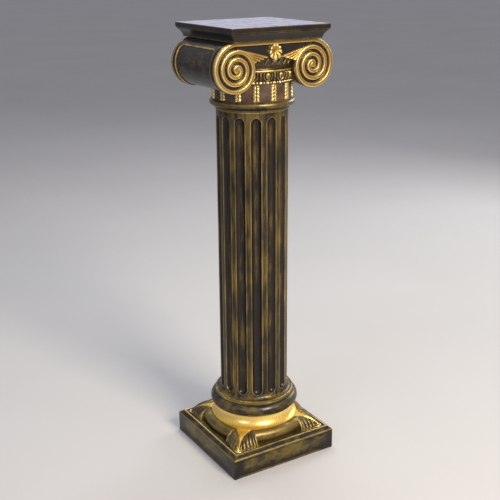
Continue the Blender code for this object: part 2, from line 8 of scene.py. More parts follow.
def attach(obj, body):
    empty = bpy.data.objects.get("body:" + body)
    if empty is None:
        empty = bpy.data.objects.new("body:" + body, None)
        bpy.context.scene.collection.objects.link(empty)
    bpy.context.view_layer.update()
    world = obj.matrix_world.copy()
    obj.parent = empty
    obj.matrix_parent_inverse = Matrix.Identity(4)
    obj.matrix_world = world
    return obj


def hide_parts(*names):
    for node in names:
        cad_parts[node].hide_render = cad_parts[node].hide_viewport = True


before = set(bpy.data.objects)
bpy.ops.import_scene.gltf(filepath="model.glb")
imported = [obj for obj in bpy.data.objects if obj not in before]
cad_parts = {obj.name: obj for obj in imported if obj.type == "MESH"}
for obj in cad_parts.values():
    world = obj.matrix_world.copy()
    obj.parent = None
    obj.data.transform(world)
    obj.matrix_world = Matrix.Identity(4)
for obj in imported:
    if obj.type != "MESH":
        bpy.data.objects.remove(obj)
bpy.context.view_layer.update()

# Column plant stand in cast plaster, painted black-brown and rubbed and gilded with gold.
# Lengths in the dictionaries are millimetres; the meshes are metres, with +Z up and the front at -Y.

millimetre = 0.001
# Heights above the ground of the edges that neighbouring pieces share.
levels = {
    "floor": 56.5,        # the plinth's sunk top
    "skirt": 85.0,        # where the gilded hollow starts
    "throat": 110.5,
    "torusFoot": 115.5,
    "torusTop": 146.5,
    "baseTop": 152.0,
    "shaftFoot": 152.3,
    "shaftTop": 862.2,
    "capitalFoot": 862.5,
    "neckFoot": 885.3,
    "neckTop": 925.3,
    "eggFoot": 931.1,
    "eggTop": 950.3,
    "crestTop": 955.8,
    "coveTop": 964.8,
    "leafTop": 979.8,
    "eye": 961.0,
    "bandTop": 1020.0,
    "top": 1050.0,
}
# Where copies go: angles in degrees, or the signs of x and y.
quarterTurns = (0, 90, 180, 270)
diagonals = (45, 135, 225, 315)
bothSides = ((1, 1), (-1, 1))
frontAndBack = ((1, 1), (1, -1))
fourQuarters = ((1, 1), (-1, 1), (1, -1), (-1, -1))


# Grids and shells

# Quads between neighbouring points of a grid; wrap also joins the last column to the first.
def gridQuads(rows, columns, wrap):
    row = np.arange(rows - 1)[:, None]
    column = np.arange(columns if wrap else columns - 1)[None, :]
    beside = (column + 1) % columns
    corners = (row * columns + column, row * columns + beside,
               (row + 1) * columns + beside, (row + 1) * columns + column)
    return np.stack(np.broadcast_arrays(*corners), -1).reshape(-1, 4)


# Triangles from each side of a closed loop of points to one more point in its middle.
def fanTriangles(loop, middle):
    return np.stack([loop, np.roll(loop, -1), np.full(len(loop), middle)], -1)


# Turns all faces of a closed shell outwards: the sum of its tetrahedra's volumes must be positive.
def facingOut(points, quads, triangles):
    split = np.concatenate([quads[:, [0, 1, 2]], quads[:, [0, 2, 3]], triangles])
    a, b, c = (points[split[:, i]] for i in range(3))
    if np.einsum("ij,ij->", a, np.cross(b, c)) < 0:
        return quads[:, ::-1], triangles[:, ::-1]
    return quads, triangles


# A shell from a grid whose columns close on themselves, with a fan over its first and last row.
def tubeShell(grid, gold=0.0):
    rows, columns = grid.shape[:2]
    tone = np.broadcast_to(gold, (rows, columns))
    points = np.concatenate([grid.reshape(-1, 3), [grid[0].mean(0), grid[-1].mean(0)]])
    first = np.arange(columns)
    last = first + (rows - 1) * columns
    fans = np.concatenate([fanTriangles(first[::-1], rows * columns),
                           fanTriangles(last, rows * columns + 1)])
    quads, fans = facingOut(points, gridQuads(rows, columns, True), fans)
    return points, quads, fans, np.append(tone.ravel(), [tone[0].mean(), tone[-1].mean()])


# A shell from an open grid: its border is carried to the place that back gives, and closed there.
def reliefShell(grid, back, gold=0.0):
    rows, columns = grid.shape[:2]
    tone = np.broadcast_to(gold, (rows, columns))
    border = np.concatenate([
        np.arange(columns),
        np.arange(1, rows) * columns + columns - 1,
        (rows - 1) * columns + np.arange(columns - 2, -1, -1),
        np.arange(rows - 2, 0, -1) * columns,
    ])
    flat = grid.reshape(-1, 3)
    hem = back(flat[border])
    points = np.concatenate([flat, hem, [hem.mean(0)]])
    loop = len(flat) + np.arange(len(border))
    wall = np.stack([border, np.roll(border, -1), np.roll(loop, -1), loop], -1)
    quads = np.concatenate([gridQuads(rows, columns, False), wall[:, ::-1]])
    fan = fanTriangles(loop[::-1], len(points) - 1)
    quads, fan = facingOut(points, quads, fan)
    tones = np.concatenate([tone.ravel(), tone.ravel()[border], [0.0]])
    return points, quads, fan, tones


# Carries a relief shell's border straight down to a height.
def downTo(height):
    return lambda hem: np.column_stack([hem[:, :2], np.full(len(hem), height)])


# Carries a relief shell's border straight back to a depth, which is its y.
def backTo(depth):
    return lambda hem: np.column_stack([hem[:, 0], np.full(len(hem), depth), hem[:, 2]])


# Copies of a shell, turned about the stand's axis by each angle in degrees.
def turnedShells(shell, angles):
    points, quads, fans, tones = shell
    copies = []
    for angle in np.radians(angles):
        turn = np.array([[np.cos(angle), np.sin(angle), 0], [-np.sin(angle), np.cos(angle), 0], [0, 0, 1]])
        copies.append((points @ turn, quads, fans, tones))
    return copies


# Copies of a shell with x and y multiplied by each pair of signs, their faces turned outwards again.
def mirroredShells(shell, signs):
    points, quads, fans, tones = shell
    copies = []
    for x, y in signs:
        flipped = points * (x, y, 1)
        copies.append((flipped, *facingOut(flipped, quads, fans), tones))
    return copies


# How far each point stands out from the average of its neighbours, after a few rounds of averaging:
# positive on ridges, negative in grooves.
def ridgeValues(mesh, points, rounds):
    ends = np.empty(len(mesh.edges) * 2, np.int64)
    mesh.edges.foreach_get("vertices", ends)
    a, b = ends[0::2], ends[1::2]
    count = np.bincount(ends, minlength=len(points))
    count[count == 0] = 1
    smooth = points.copy()
    for _ in range(rounds):
        total = np.empty_like(smooth)
        for axis in range(3):
            total[:, axis] = np.bincount(a, smooth[b, axis], len(points))
            total[:, axis] += np.bincount(b, smooth[a, axis], len(points))
        smooth = total / count[:, None]
    normals = np.empty(len(points) * 3, np.float32)
    mesh.vertex_normals.foreach_get("vector", normals)
    return np.einsum("ij,ij->i", normals.reshape(-1, 3), points - smooth)


# Joins shells into one piece of the stand, with its gold and ridge attributes, fixes it to the root body,
# and hides the CAD node that it stands in for.
def makePiece(name, shells, node, material, ridgeRounds=6, ridgeSize=0.35, sharp=42):
    offsets = np.cumsum([0] + [len(shell[0]) for shell in shells])
    points = np.concatenate([shell[0] for shell in shells])
    quads = np.concatenate([shell[1] + start for shell, start in zip(shells, offsets)])
    fans = np.concatenate([shell[2] + start for shell, start in zip(shells, offsets)])
    mesh = bpy.data.meshes.new(name)
    mesh.vertices.add(len(points))
    mesh.vertices.foreach_set("co", (points * millimetre).astype(np.float32).ravel())
    corners = np.concatenate([quads.ravel(), fans.ravel()])
    starts = np.concatenate([np.arange(len(quads)) * 4, len(quads) * 4 + np.arange(len(fans)) * 3])
    mesh.loops.add(len(corners))
    mesh.loops.foreach_set("vertex_index", corners.astype(np.int32))
    mesh.polygons.add(len(starts))
    mesh.polygons.foreach_set("loop_start", starts.astype(np.int32))
    mesh.update(calc_edges=True)
    mesh.validate()
    mesh.shade_smooth()
    mesh.set_sharp_from_angle(angle=math.radians(sharp))
    ridge = ridgeValues(mesh, points, ridgeRounds) / ridgeSize
    for label, values in (("gold", np.concatenate([shell[3] for shell in shells])), ("ridge", ridge)):
        layer = mesh.attributes.new(label, "FLOAT", "POINT")
        layer.data.foreach_set("value", np.clip(values, -1, 1).astype(np.float32))
    piece = bpy.data.objects.new(name, mesh)
    bpy.context.scene.collection.objects.link(piece)
    mesh.materials.append(material)
    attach(piece, "root")
    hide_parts(node)
    print(f"{name}: {len(starts)} faces")
    return piece


# Points of an arc in a profile, angles in degrees from outwards to upwards.
def arcPoints(centre, height, radius, rise, start, end, steps):
    angle = np.radians(np.linspace(start, end, steps))
    return np.stack([centre + radius * np.cos(angle), height + rise * np.sin(angle)], -1)


# A profile of (radius, height) corners with points added so that none are further apart than step.
def denseProfile(corners, step):
    corners = np.asarray(corners, float)
    lengths = np.hypot(*np.diff(corners, axis=0).T)
    parts = [np.linspace(a, b, max(2, math.ceil(length / step) + 1))[:-1]
             for a, b, length in zip(corners, corners[1:], lengths)]
    return np.concatenate([*parts, corners[-1:]])


# A turned grid: each profile point goes round the axis in equal steps.
def turnedGrid(profile, columns):
    angle = np.linspace(0, 2 * np.pi, columns, endpoint=False)
    radius, height = profile[:, :1], profile[:, 1:2]
    return np.stack(np.broadcast_arrays(radius * np.cos(angle), radius * np.sin(angle), height), -1)


# Rings of a square with rounded corners: four straight sides of points, each followed by an arc.
def squareGrid(half, corner, height, sideSteps=48, bendSteps=8):
    half, corner, height = (np.broadcast_to(v, np.shape(half))[:, None] for v in (half, corner, height))
    along = np.linspace(-1, 1, sideSteps)
    bend = np.radians(np.linspace(-90, 0, bendSteps + 2)[1:-1])
    straight = half - corner
    x = np.concatenate([along * straight, straight + corner * np.cos(bend)], 1)
    side = np.broadcast_to(-half, (len(half), sideSteps))
    y = np.concatenate([side, -straight + corner * np.sin(bend)], 1)
    turned = [(x, y), (-y, x), (-x, -y), (y, -x)]
    ring = np.concatenate([np.stack(pair, -1) for pair in turned], 1)
    return np.concatenate([ring, np.broadcast_to(height[..., None], (*ring.shape[:2], 1))], -1)


# Eases from 0 at low to 1 at high: three squares less two cubes of the share of the way.
def smoothStep(low, high, value):
    share = np.clip((value - low) / (high - low), 0, 1)
    return share * share * (3 - 2 * share)


# Rounded lobes with creases between them: the root of the sine's size, once for each whole number.
def lobeWave(phase, power=0.5):
    return np.abs(np.sin(np.pi * phase)) ** power


# Normals of an open grid, from the cross product of its two directions.
def gridNormals(grid):
    normal = np.cross(np.gradient(grid, axis=0), np.gradient(grid, axis=1))
    return normal / np.maximum(np.linalg.norm(normal, axis=-1, keepdims=True), 1e-9)


# Materials

# An sRGB hex colour as the linear numbers that a socket takes.
def hexColour(code, alpha=1.0):
    channels = np.array([int(code[i:i + 2], 16) / 255 for i in (1, 3, 5)])
    linear = np.where(channels <= 0.04045, channels / 12.92, ((channels + 0.055) / 1.055) ** 2.4)
    return (*linear.tolist(), alpha)


# Fills a node's inputs, each with a plain value or with another node's output.
def fillInputs(tree, item, inputs):
    for socket, value in inputs.items():
        if isinstance(value, bpy.types.NodeSocket):
            tree.links.new(value, item.inputs[socket])
        else:
            item.inputs[socket].default_value = value


# Adds a node with its settings and inputs, and gives the output that is asked for.
def addNode(tree, kind, inputs, output=0, **settings):
    item = tree.nodes.new(kind)
    for key, value in settings.items():
        setattr(item, key, value)
    fillInputs(tree, item, inputs)
    return item.outputs[output]


# A new material, with its node tree and its shader.
def newMaterial(name):
    material = bpy.data.materials.new(name)
    material.use_nodes = True
    tree = material.node_tree
    return material, tree, tree.nodes["Principled BSDF"]


# Noise patterns on Object coordinates, one for each (size of its marks in millimetres, stretch, detail,
# roughness). A stretch under 1 draws the marks out along that axis.
def paintPatterns(tree, patterns):
    place = addNode(tree, "ShaderNodeTexCoord", {}, "Object")
    noises = []
    for size, stretch, detail, rough in patterns:
        mapped = addNode(tree, "ShaderNodeMapping", {"Vector": place, "Scale": stretch}, "Vector")
        noises.append(addNode(tree, "ShaderNodeTexNoise", {
            "Vector": mapped, "Scale": 1 / (size * millimetre), "Detail": detail, "Roughness": rough,
        }, "Fac"))
    return noises


even = (1, 1, 1)
# Settings of many nodes: a range with eased ends, and the first input times the second plus the third.
eased = {"interpolation_type": "SMOOTHSTEP"}
sumOf = {"operation": "MULTIPLY_ADD"}
# What all patinas share: the coat is thin where the strokes' noise is low, and full where it is high.
patina = {
    "brightSpan": 0.7, "roughSpread": 0.14, "coatFrom": 0.35, "coatTo": 0.65, "thinCoat": 0.4,
    "coatRough": 0.06, "strokeRelief": 0.6, "reliefDepth": 0.6 * millimetre,
}


# Oil-based patina over cast plaster, black-brown and satin, with bronze paste rubbed over what stands
# out: it gives dark hollows, dull olive lands and thin bright edges.
def patinaMaterial(name, look):
    material, tree, shader = newMaterial(name)
    cloud, stroke, grain = paintPatterns(tree, (
        (look["cloud"], look["cloudStretch"], 3.0, 0.55),
        (look["stroke"], look["strokeStretch"], 4.0, 0.6),
        (look["grain"], even, 5.0, 0.55),
    ))
    ridge = addNode(tree, "ShaderNodeAttribute", {}, "Fac", attribute_name="ridge")
    rub = addNode(tree, "ShaderNodeAttribute", {}, "Fac", attribute_name="gold")
    wear = ((ridge, "edgeWear"), (stroke, "strokeWear"), (grain, "grainWear"), (cloud, "cloudWear"))
    for source, share in wear:
        rub = addNode(tree, "ShaderNodeMath", {0: source, 1: look[share], 2: rub}, **sumOf)
    shift = 0.5 * (look["strokeWear"] + look["grainWear"] + look["cloudWear"])
    bare, full = look["rubFrom"] + shift, look["rubTo"] + shift
    amount = addNode(tree, "ShaderNodeMapRange", {
        "Value": rub, "From Min": bare, "From Max": full,
    }, "Result", **eased)
    bright = addNode(tree, "ShaderNodeMapRange", {
        "Value": rub, "From Min": full, "From Max": full + patina["brightSpan"],
    }, "Result", **eased)
    dark = addNode(tree, "ShaderNodeMix", {
        0: cloud, 6: hexColour(look["darkCool"]), 7: hexColour(look["darkWarm"]),
    }, 2, data_type="RGBA")
    paste = addNode(tree, "ShaderNodeMix", {
        0: bright, 6: hexColour(look["paste"]), 7: hexColour(look["pasteBright"]),
    }, 2, data_type="RGBA")
    colour = addNode(tree, "ShaderNodeMix", {0: amount, 6: dark, 7: paste}, 2, data_type="RGBA")
    metal = addNode(tree, "ShaderNodeMapRange", {
        "Value": amount, "To Min": look["darkMetal"], "To Max": look["pasteMetal"],
    }, "Result", **eased)
    rough = addNode(tree, "ShaderNodeMapRange", {
        "Value": amount, "To Min": look["darkRough"], "To Max": look["pasteRough"],
    }, "Result", **eased)
    rough = addNode(tree, "ShaderNodeMath", {0: grain, 1: patina["roughSpread"], 2: rough}, **sumOf)
    coat = addNode(tree, "ShaderNodeMapRange", {
        "Value": stroke, "From Min": patina["coatFrom"], "From Max": patina["coatTo"],
        "To Min": patina["thinCoat"] * look["coat"], "To Max": look["coat"],
    }, "Result", **eased)
    relief = addNode(tree, "ShaderNodeMath", {0: stroke, 1: patina["strokeRelief"], 2: grain}, **sumOf)
    normal = addNode(tree, "ShaderNodeBump", {
        "Strength": look["bump"], "Distance": patina["reliefDepth"], "Height": relief,
    }, "Normal")
    fillInputs(tree, shader, {
        "Base Color": colour, "Metallic": metal, "Roughness": rough, "IOR": 1.5,
        "Coat Weight": coat, "Coat Roughness": patina["coatRough"], "Normal": normal,
    })
    return material


# Gold bronze paint, brushed on: a warm metal with brown glaze left in the grooves, and paler gold on its
# edges that is partly rubbed wear and partly a painted highlight.
def goldPaintMaterial(name, look):
    material, tree, shader = newMaterial(name)
    cloud, grain = paintPatterns(tree, (
        (look["cloud"], even, 3.0, 0.55),
        (look["grain"], even, 5.0, 0.55),
    ))
    worn = addNode(tree, "ShaderNodeAttribute", {}, "Fac", attribute_name="ridge")
    for source, share in ((grain, "grainWear"), (cloud, "cloudWear")):
        worn = addNode(tree, "ShaderNodeMath", {0: source, 1: look[share], 2: worn}, **sumOf)
    shift = 0.5 * (look["grainWear"] + look["cloudWear"])
    covered = addNode(tree, "ShaderNodeMapRange", {
        "Value": worn, "From Min": look["glazeFrom"] + shift, "From Max": look["glazeTo"] + shift,
    }, "Result", **eased)
    # Paler gold on ridges: partly rubbed wear, partly a painted highlight.
    bright = addNode(tree, "ShaderNodeMapRange", {
        "Value": worn, "From Min": shift, "From Max": shift + look["edgeSpan"],
    }, "Result", **eased)
    gold = addNode(tree, "ShaderNodeMix", {
        0: bright, 6: hexColour(look["gold"]), 7: hexColour(look["goldPaleEdgeAndHighlight"]),
    }, 2, data_type="RGBA")
    colour = addNode(tree, "ShaderNodeMix", {
        0: covered, 6: hexColour(look["glaze"]), 7: gold,
    }, 2, data_type="RGBA")
    metal = addNode(tree, "ShaderNodeMapRange", {
        "Value": covered, "To Min": look["glazeMetal"], "To Max": look["metal"],
    }, "Result", **eased)
    rough = addNode(tree, "ShaderNodeMath", {0: grain, 1: look["roughSpread"], 2: look["rough"]}, **sumOf)
    normal = addNode(tree, "ShaderNodeBump", {
        "Strength": look["bump"], "Distance": 0.5 * millimetre, "Height": grain,
    }, "Normal")
    fillInputs(tree, shader, {
        "Base Color": colour, "Metallic": metal, "Roughness": rough, "Normal": normal,
    })
    return material


# Bare sand-textured plaster stained brown: grains of about a millimetre, drawn at 2 mm so they show.
def grainyPlasterMaterial(name, look):
    material, tree, shader = newMaterial(name)
    grain, cloud = paintPatterns(tree, (
        (look["grain"], even, 4.0, 0.7),
        (look["cloud"], even, 3.0, 0.55),
    ))
    stain = addNode(tree, "ShaderNodeMath", {0: cloud, 1: look["cloudWear"], 2: grain}, **sumOf)
    share = addNode(tree, "ShaderNodeMapRange", {
        "Value": stain, "From Min": look["stainFrom"], "From Max": look["stainTo"],
    }, "Result", **eased)
    colour = addNode(tree, "ShaderNodeMix", {
        0: share, 6: hexColour(look["pit"]), 7: hexColour(look["grainTop"]),
    }, 2, data_type="RGBA")
    normal = addNode(tree, "ShaderNodeBump", {
        "Strength": look["bump"], "Distance": 0.8 * millimetre, "Height": grain,
    }, "Normal")
    fillInputs(tree, shader, {"Base Color": colour, "Roughness": look["rough"], "Normal": normal})
    return material


# Rubbed along the shaft: long upright strokes of olive bronze between black-brown patches.
shaftPatina = patinaMaterial("gold rubbed shaft patina", {
    "cloud": 42, "cloudStretch": (1, 1, 0.5), "stroke": 6, "strokeStretch": (1, 1, 0.1), "grain": 2.5,
    "edgeWear": 0.8, "strokeWear": 1.5, "grainWear": 0.5, "cloudWear": 1.4,
    "rubFrom": 0.0, "rubTo": 1.0,
    "darkCool": "#12141d", "darkWarm": "#2c2214", "paste": "#86703a", "pasteBright": "#e2bd6c",
    "darkMetal": 0.45, "pasteMetal": 0.8, "darkRough": 0.30, "pasteRough": 0.36, "bump": 0.3,
    "coat": 0.12,
})
# Rubbed with a cloth: olive clouds on the plinth and a bright line along each edge.
basePatina = patinaMaterial("gold rubbed base patina", {
    "cloud": 48, "cloudStretch": (1, 1, 1), "stroke": 7, "strokeStretch": (0.4, 0.4, 1), "grain": 2.2,
    "edgeWear": 0.9, "strokeWear": 1.2, "grainWear": 0.35, "cloudWear": 1.5,
    "rubFrom": -0.1, "rubTo": 1.0,
    "darkCool": "#12141c", "darkWarm": "#2a2415", "paste": "#86733f", "pasteBright": "#e6cd8c",
    "darkMetal": 0.45, "pasteMetal": 0.8, "darkRough": 0.30, "pasteRough": 0.36, "bump": 0.35,
    "coat": 0.12,
})
# Less rubbed and darker: a nearly black ground for the gold ornament.
capitalPatina = patinaMaterial("gold rubbed capital patina", {
    "cloud": 34, "cloudStretch": (1, 1, 1), "stroke": 6, "strokeStretch": (1, 0.3, 1), "grain": 2.0,
    "edgeWear": 0.9, "strokeWear": 1.3, "grainWear": 0.5, "cloudWear": 1.3,
    "rubFrom": 0.1, "rubTo": 1.1,
    "darkCool": "#0e0f16", "darkWarm": "#2e2414", "paste": "#7a6534", "pasteBright": "#dab86e",
    "darkMetal": 0.4, "pasteMetal": 0.8, "darkRough": 0.28, "pasteRough": 0.34, "bump": 0.3,
    "coat": 0.12,
})
# Dull old gold: paler on its edges, partly from wear and partly as a painted highlight, and brown in its
# grooves.
antiqueGold = goldPaintMaterial("antique gold bronze paint", {
    "cloud": 25, "grain": 2.0, "grainWear": 0.5, "cloudWear": 0.35, "glazeFrom": -0.8, "glazeTo": -0.2,
    "edgeSpan": 0.7, "gold": "#b39048", "goldPaleEdgeAndHighlight": "#efd698", "glaze": "#3a2810",
    "metal": 0.9, "glazeMetal": 0.15, "rough": 0.27, "roughSpread": 0.16, "bump": 0.2,
})
# Yellow, even and shiny, with hardly any glaze.
brightGold = goldPaintMaterial("bright gold leaf paint", {
    "cloud": 30, "grain": 2.0, "grainWear": 0.12, "cloudWear": 0.3, "glazeFrom": -1.5, "glazeTo": -0.9,
    "edgeSpan": 0.9, "gold": "#f2c24a", "goldPaleEdgeAndHighlight": "#ffe596", "glaze": "#a8761f",
    "metal": 0.7, "glazeMetal": 0.15, "rough": 0.24, "roughSpread": 0.08, "bump": 0.06,
})
# Dull and rough, so the gold strips stand off it.
neckPlaster = grainyPlasterMaterial("grainy brown plaster", {
    "grain": 2.0, "cloud": 18, "cloudWear": 0.6, "stainFrom": 0.58, "stainTo": 1.05,
    "pit": "#0c0806", "grainTop": "#5f442a", "rough": 0.55, "bump": 0.8,
})
# Polished, so it mirrors the light behind it as a pale lavender sheet.
topLacquer = patinaMaterial("glossy dark lacquer", {
    "cloud": 60, "cloudStretch": (1, 1, 1), "stroke": 7, "strokeStretch": (0.3, 0.3, 1), "grain": 3.0,
    "edgeWear": 0.4, "strokeWear": 1.2, "grainWear": 0.4, "cloudWear": 1.2,
    "rubFrom": 0.2, "rubTo": 1.1,
    "darkCool": "#17161d", "darkWarm": "#251c14", "paste": "#6a5630", "pasteBright": "#a98a4a",
    "darkMetal": 0.3, "pasteMetal": 0.7, "darkRough": 0.12, "pasteRough": 0.26, "bump": 0.1,
    "coat": 1.0,
})
print("materials done")


# Base

plinth = {
    "half": 144.2, "edge": 50.2, "rimHalf": 132.7, "rimTop": 59.5, "rimWidth": 1.6, "cornerRadius": 1.6,
}


# Square rings up the sides, over the sloped top edge, over the thin rim and down to the sunk floor.
def plinthShells():
    half, edge, rim, top = (plinth[key] for key in ("half", "edge", "rimHalf", "rimTop"))
    inner = rim - plinth["rimWidth"]
    floor = levels["floor"]
    corners = [(half - 0.8, 0), (half, 0.8), (half, edge), (half - 0.5, edge + 1.0),
               (half - 1.6, edge + 2.2), (rim + 0.7, top - 0.5), (rim - 0.1, top),
               (inner + 0.2, top - 0.1), (inner - 0.5, top - 0.9), (inner - 1.4, floor + 0.3),
               (inner - 2.4, floor), (inner - 36, floor)]
    profile = denseProfile(corners, 2.0)
    tone = np.interp(profile[:, 1], [0, 12, 26, 42, edge - 1, edge + 2, top - 3, top - 1, top],
                     [-0.5, 0.0, 0.42, 0.4, -0.05, 0.05, 0.05, 0.3, 0.9])
    onFloor = (profile[:, 1] < floor + 1) & (profile[:, 0] < inner)
    tone = np.where(onFloor, 0.45, tone)
    grid = squareGrid(profile[:, 0], plinth["cornerRadius"], profile[:, 1])
    fromCorner = half - np.min(np.abs(grid[..., :2]), axis=-1)
    onSide = grid[..., 2] < edge
    tone = tone[:, None] - 0.6 * onSide * smoothStep(55, 8, fromCorner)
    return [tubeShell(grid, tone)]


rolls = {"bead": 15.5, "reach": 107.0, "bow": 182.0, "halfLength": 60.0, "tail": 7.0, "sink": 1.2}


# The front roll's centre line: a shallow arc, bowed outwards, at a distance along X.
def rollCentre(along):
    bow = rolls["bow"] - np.sqrt(rolls["bow"] ** 2 - along ** 2)
    height = levels["floor"] + rolls["bead"] - rolls["sink"]
    return np.stack([along, bow - rolls["reach"], np.full_like(along, height)], -1)


# A round section carried along the arc: centre + bead * (cosine * sideways + sine * up).
def rollShells():
    reach = rolls["halfLength"] + rolls["tail"]
    along = np.linspace(-reach, reach, 50)
    centre = rollCentre(along)
    tangent = np.gradient(centre, axis=0)
    tangent /= np.linalg.norm(tangent, axis=-1, keepdims=True)
    side = np.cross(tangent, (0, 0, 1))
    angle = np.linspace(0, 2 * np.pi, 48, endpoint=False)[:, None]
    ring = np.cos(angle) * side[:, None] + np.sin(angle) * np.array((0, 0, 1))
    tone = 0.35 * smoothStep(0.1, 0.9, np.sin(angle[:, 0] - 0.3)) * np.ones((50, 1)) - 0.3
    return turnedShells(tubeShell(centre[:, None] + rolls["bead"] * ring, tone), quarterTurns)


leaves = {
    "share": (0.0, 0.3, 0.6, 0.8, 1.0),
    "top": ((58.0, -91.5, 86.0), (71.0, -92.5, 85.2), (89.0, -98.5, 81.5), (102.0, -106.5, 75.0),
            (114.0, -116.0, 64.5)),
    "tipStart": (63.0, -119.5), "tipEnd": (119.5, -121.0), "tipBow": 3.5, "foot": 57.0, "crown": 1.2,
    "inside": -0.04, "tuck": 2.4, "collarShare": 0.09, "collarRise": 1.9, "collarBow": 2.5,
    "lobes": 5, "lobeDepth": 2.7, "notch": 0.15, "toeRise": 1.2,
}


# Ribs run from a curved line over the roll's top and down to the corner, to toes in a row along the
# rim. In each rib the way out follows a sine and the way down a cosine, so the leaf is level on top
# and steep at its toes. The first strip is the smooth collar round the roll; the rest are lobes.
def leafShell():
    across = np.linspace(0, 1, 131)[None, :]
    along = np.linspace(leaves["inside"], 1, 60)[:, None]
    share = np.clip((across - leaves["collarShare"]) / (1 - leaves["collarShare"]), 0, 1)
    wave = np.where(across < leaves["collarShare"], 1, lobeWave(leaves["lobes"] * share ** 0.9, 0.6))
    reach = along * (1 - leaves["notch"] * (1 - wave) * smoothStep(0.55, 1, along))
    out, down = np.sin(np.pi / 2 * reach), 1 - np.cos(np.pi / 2 * reach)
    bend = np.polynomial.polynomial.polyfit(leaves["share"], np.array(leaves["top"]), 3)
    top = [np.polynomial.polynomial.polyval(across, bend[:, axis]) for axis in range(3)]
    tip = [a + (b - a) * across for a, b in zip(leaves["tipStart"], leaves["tipEnd"])]
    tip[1] = tip[1] - leaves["tipBow"] * np.sin(np.pi * across) ** 0.6
    bow = leaves["collarBow"] * np.sin(np.pi * np.clip(reach, 0, 1)) * (1 - across)
    lift = leaves["crown"] * np.sin(np.pi * np.clip(reach, 0, 1)) * np.sin(np.pi * across)
    sunk = leaves["tuck"] * np.clip(along / leaves["inside"], 0, 1) ** 2
    grid = np.stack([top[0] + (tip[0] - top[0]) * out + bow, top[1] + (tip[1] - top[1]) * out,
                     top[2] + (leaves["foot"] - top[2]) * down + lift - sunk], -1)
    normal = gridNormals(grid)
    normal *= np.sign(normal[..., 2:].mean())
    creases = leaves["lobeDepth"] * (1 - wave) * smoothStep(0.1, 0.6, along)
    fromMiddle = 2 * (across / leaves["collarShare"] - 0.5)
    collar = leaves["collarRise"] * np.sqrt(np.clip(1 - fromMiddle ** 2, 0, 1))
    collar = collar * smoothStep(leaves["inside"], 0.12, along)
    toe = leaves["toeRise"] * wave * np.exp(-((along - 0.86) / 0.1) ** 2)
    grid = grid + normal * (np.where(across < leaves["collarShare"], collar, toe) - creases)[..., None]
    tone = 0.4 * wave - 0.05 + 0.5 * smoothStep(0.7, 0.95, along) * wave
    tone = np.where(across < leaves["collarShare"], 0.45 * smoothStep(0.0, 0.3, along), tone)
    return reliefShell(grid, downTo(levels["floor"] - 2), tone)


# Two leaves for each of the four rolls.
def leafShells():
    pair = mirroredShells(leafShell(), bothSides)
    return [copy for leaf in pair for copy in turnedShells(leaf, quarterTurns)]


spurs = {
    "root": 98.0, "tip": 171.0, "crest": 26.5, "tipHeight": 4.5, "rootWidth": 54.0, "tipWidth": 2.0,
    "narrowing": 20.0, "mostWidth": 38.0, "reach": 1.35,
}


# The gilded web along each diagonal. Its crest falls as one minus the cube of the way out; across
# it the height is a flat-topped bell, whose width dies away from the hollow to the corner.
def spurShells():
    out = np.linspace(0, 1, 90)[:, None]
    across = np.linspace(-spurs["reach"], spurs["reach"], 71)[None, :]
    distance = spurs["root"] + (spurs["tip"] - spurs["root"]) * out
    crest = spurs["tipHeight"] + spurs["crest"] * (1 - out ** 3)
    fade = np.exp((spurs["root"] - distance) / spurs["narrowing"])
    width = np.minimum(spurs["tipWidth"] + spurs["rootWidth"] * fade, spurs["mostWidth"])
    tipRound = np.sqrt(np.clip((1 - out) / 0.05, 0, 1))
    power = 4 - 2 * out
    bell = np.exp(-np.abs(across) ** power) - np.exp(-spurs["reach"] ** power)
    height = levels["floor"] - 0.8 + crest * bell * (0.3 + 0.7 * tipRound)
    sideways = across * width * tipRound
    grid = np.stack([distance + 0 * across, sideways, height], -1)
    return turnedShells(reliefShell(grid, downTo(levels["floor"] - 4)), diagonals)


curls = {"tip": 172.0, "radius": 7.0, "arm": 16.0, "bead": 2.7}


# A bead bent in a U round the end of each spur: two arms beside it and half a circle between them.
def curlShells():
    turn = np.radians(np.linspace(-90, 90, 26))
    centre = curls["tip"] - curls["radius"]
    bend = np.stack([centre + curls["radius"] * np.cos(turn), curls["radius"] * np.sin(turn)], -1)
    arm = np.linspace(curls["arm"], 1, 12)
    side = np.column_stack([centre - arm, np.full(12, -curls["radius"])])
    path = np.concatenate([side, bend, (side * (1, -1))[::-1]])
    height = np.full(len(path), levels["floor"] + 0.9)
    path = np.column_stack([path, height])
    tangent = np.gradient(path, axis=0)
    tangent /= np.linalg.norm(tangent, axis=-1, keepdims=True)
    across = np.cross(tangent, (0, 0, 1))
    angle = np.linspace(0, 2 * np.pi, 20, endpoint=False)[:, None]
    share = np.linspace(-1, 1, len(path))
    bead = curls["bead"] * np.sqrt(np.clip(1 - share ** 6, 0.03, 1))
    ring = np.cos(angle) * across[:, None] + np.sin(angle) * np.array((0, 0, 1))
    return turnedShells(tubeShell(path[:, None] + bead[:, None, None] * ring, 0.7), diagonals)


hollow = {"skirtRadius": 112.0, "footRadius": 101.0, "throatRadius": 90.0, "filletRadius": 95.0}


# A turned hollow moulding: a steep skirt, a quarter of an ellipse inwards, and a thin fillet on top.
def hollowShells():
    skirt, throat, top = levels["skirt"], levels["throat"], levels["torusFoot"]
    outer, foot, inner, fillet = (hollow[key] for key in
                                  ("skirtRadius", "footRadius", "throatRadius", "filletRadius"))
    scotia = arcPoints(outer, throat, outer - inner, throat - skirt, 270, 180, 24)
    corners = [(foot, levels["floor"] - 2), (foot, skirt - 14), (outer - 2, skirt - 3), *scotia,
               (inner + 0.4, throat + 0.6), (fillet - 0.6, throat + 1.1), (fillet, throat + 1.8),
               (fillet, top + 0.5)]
    return [tubeShell(turnedGrid(denseProfile(corners, 1.5), 160))]


torus = {"radius": 109.5, "bead": 15.5, "ringRadius": 98.0}


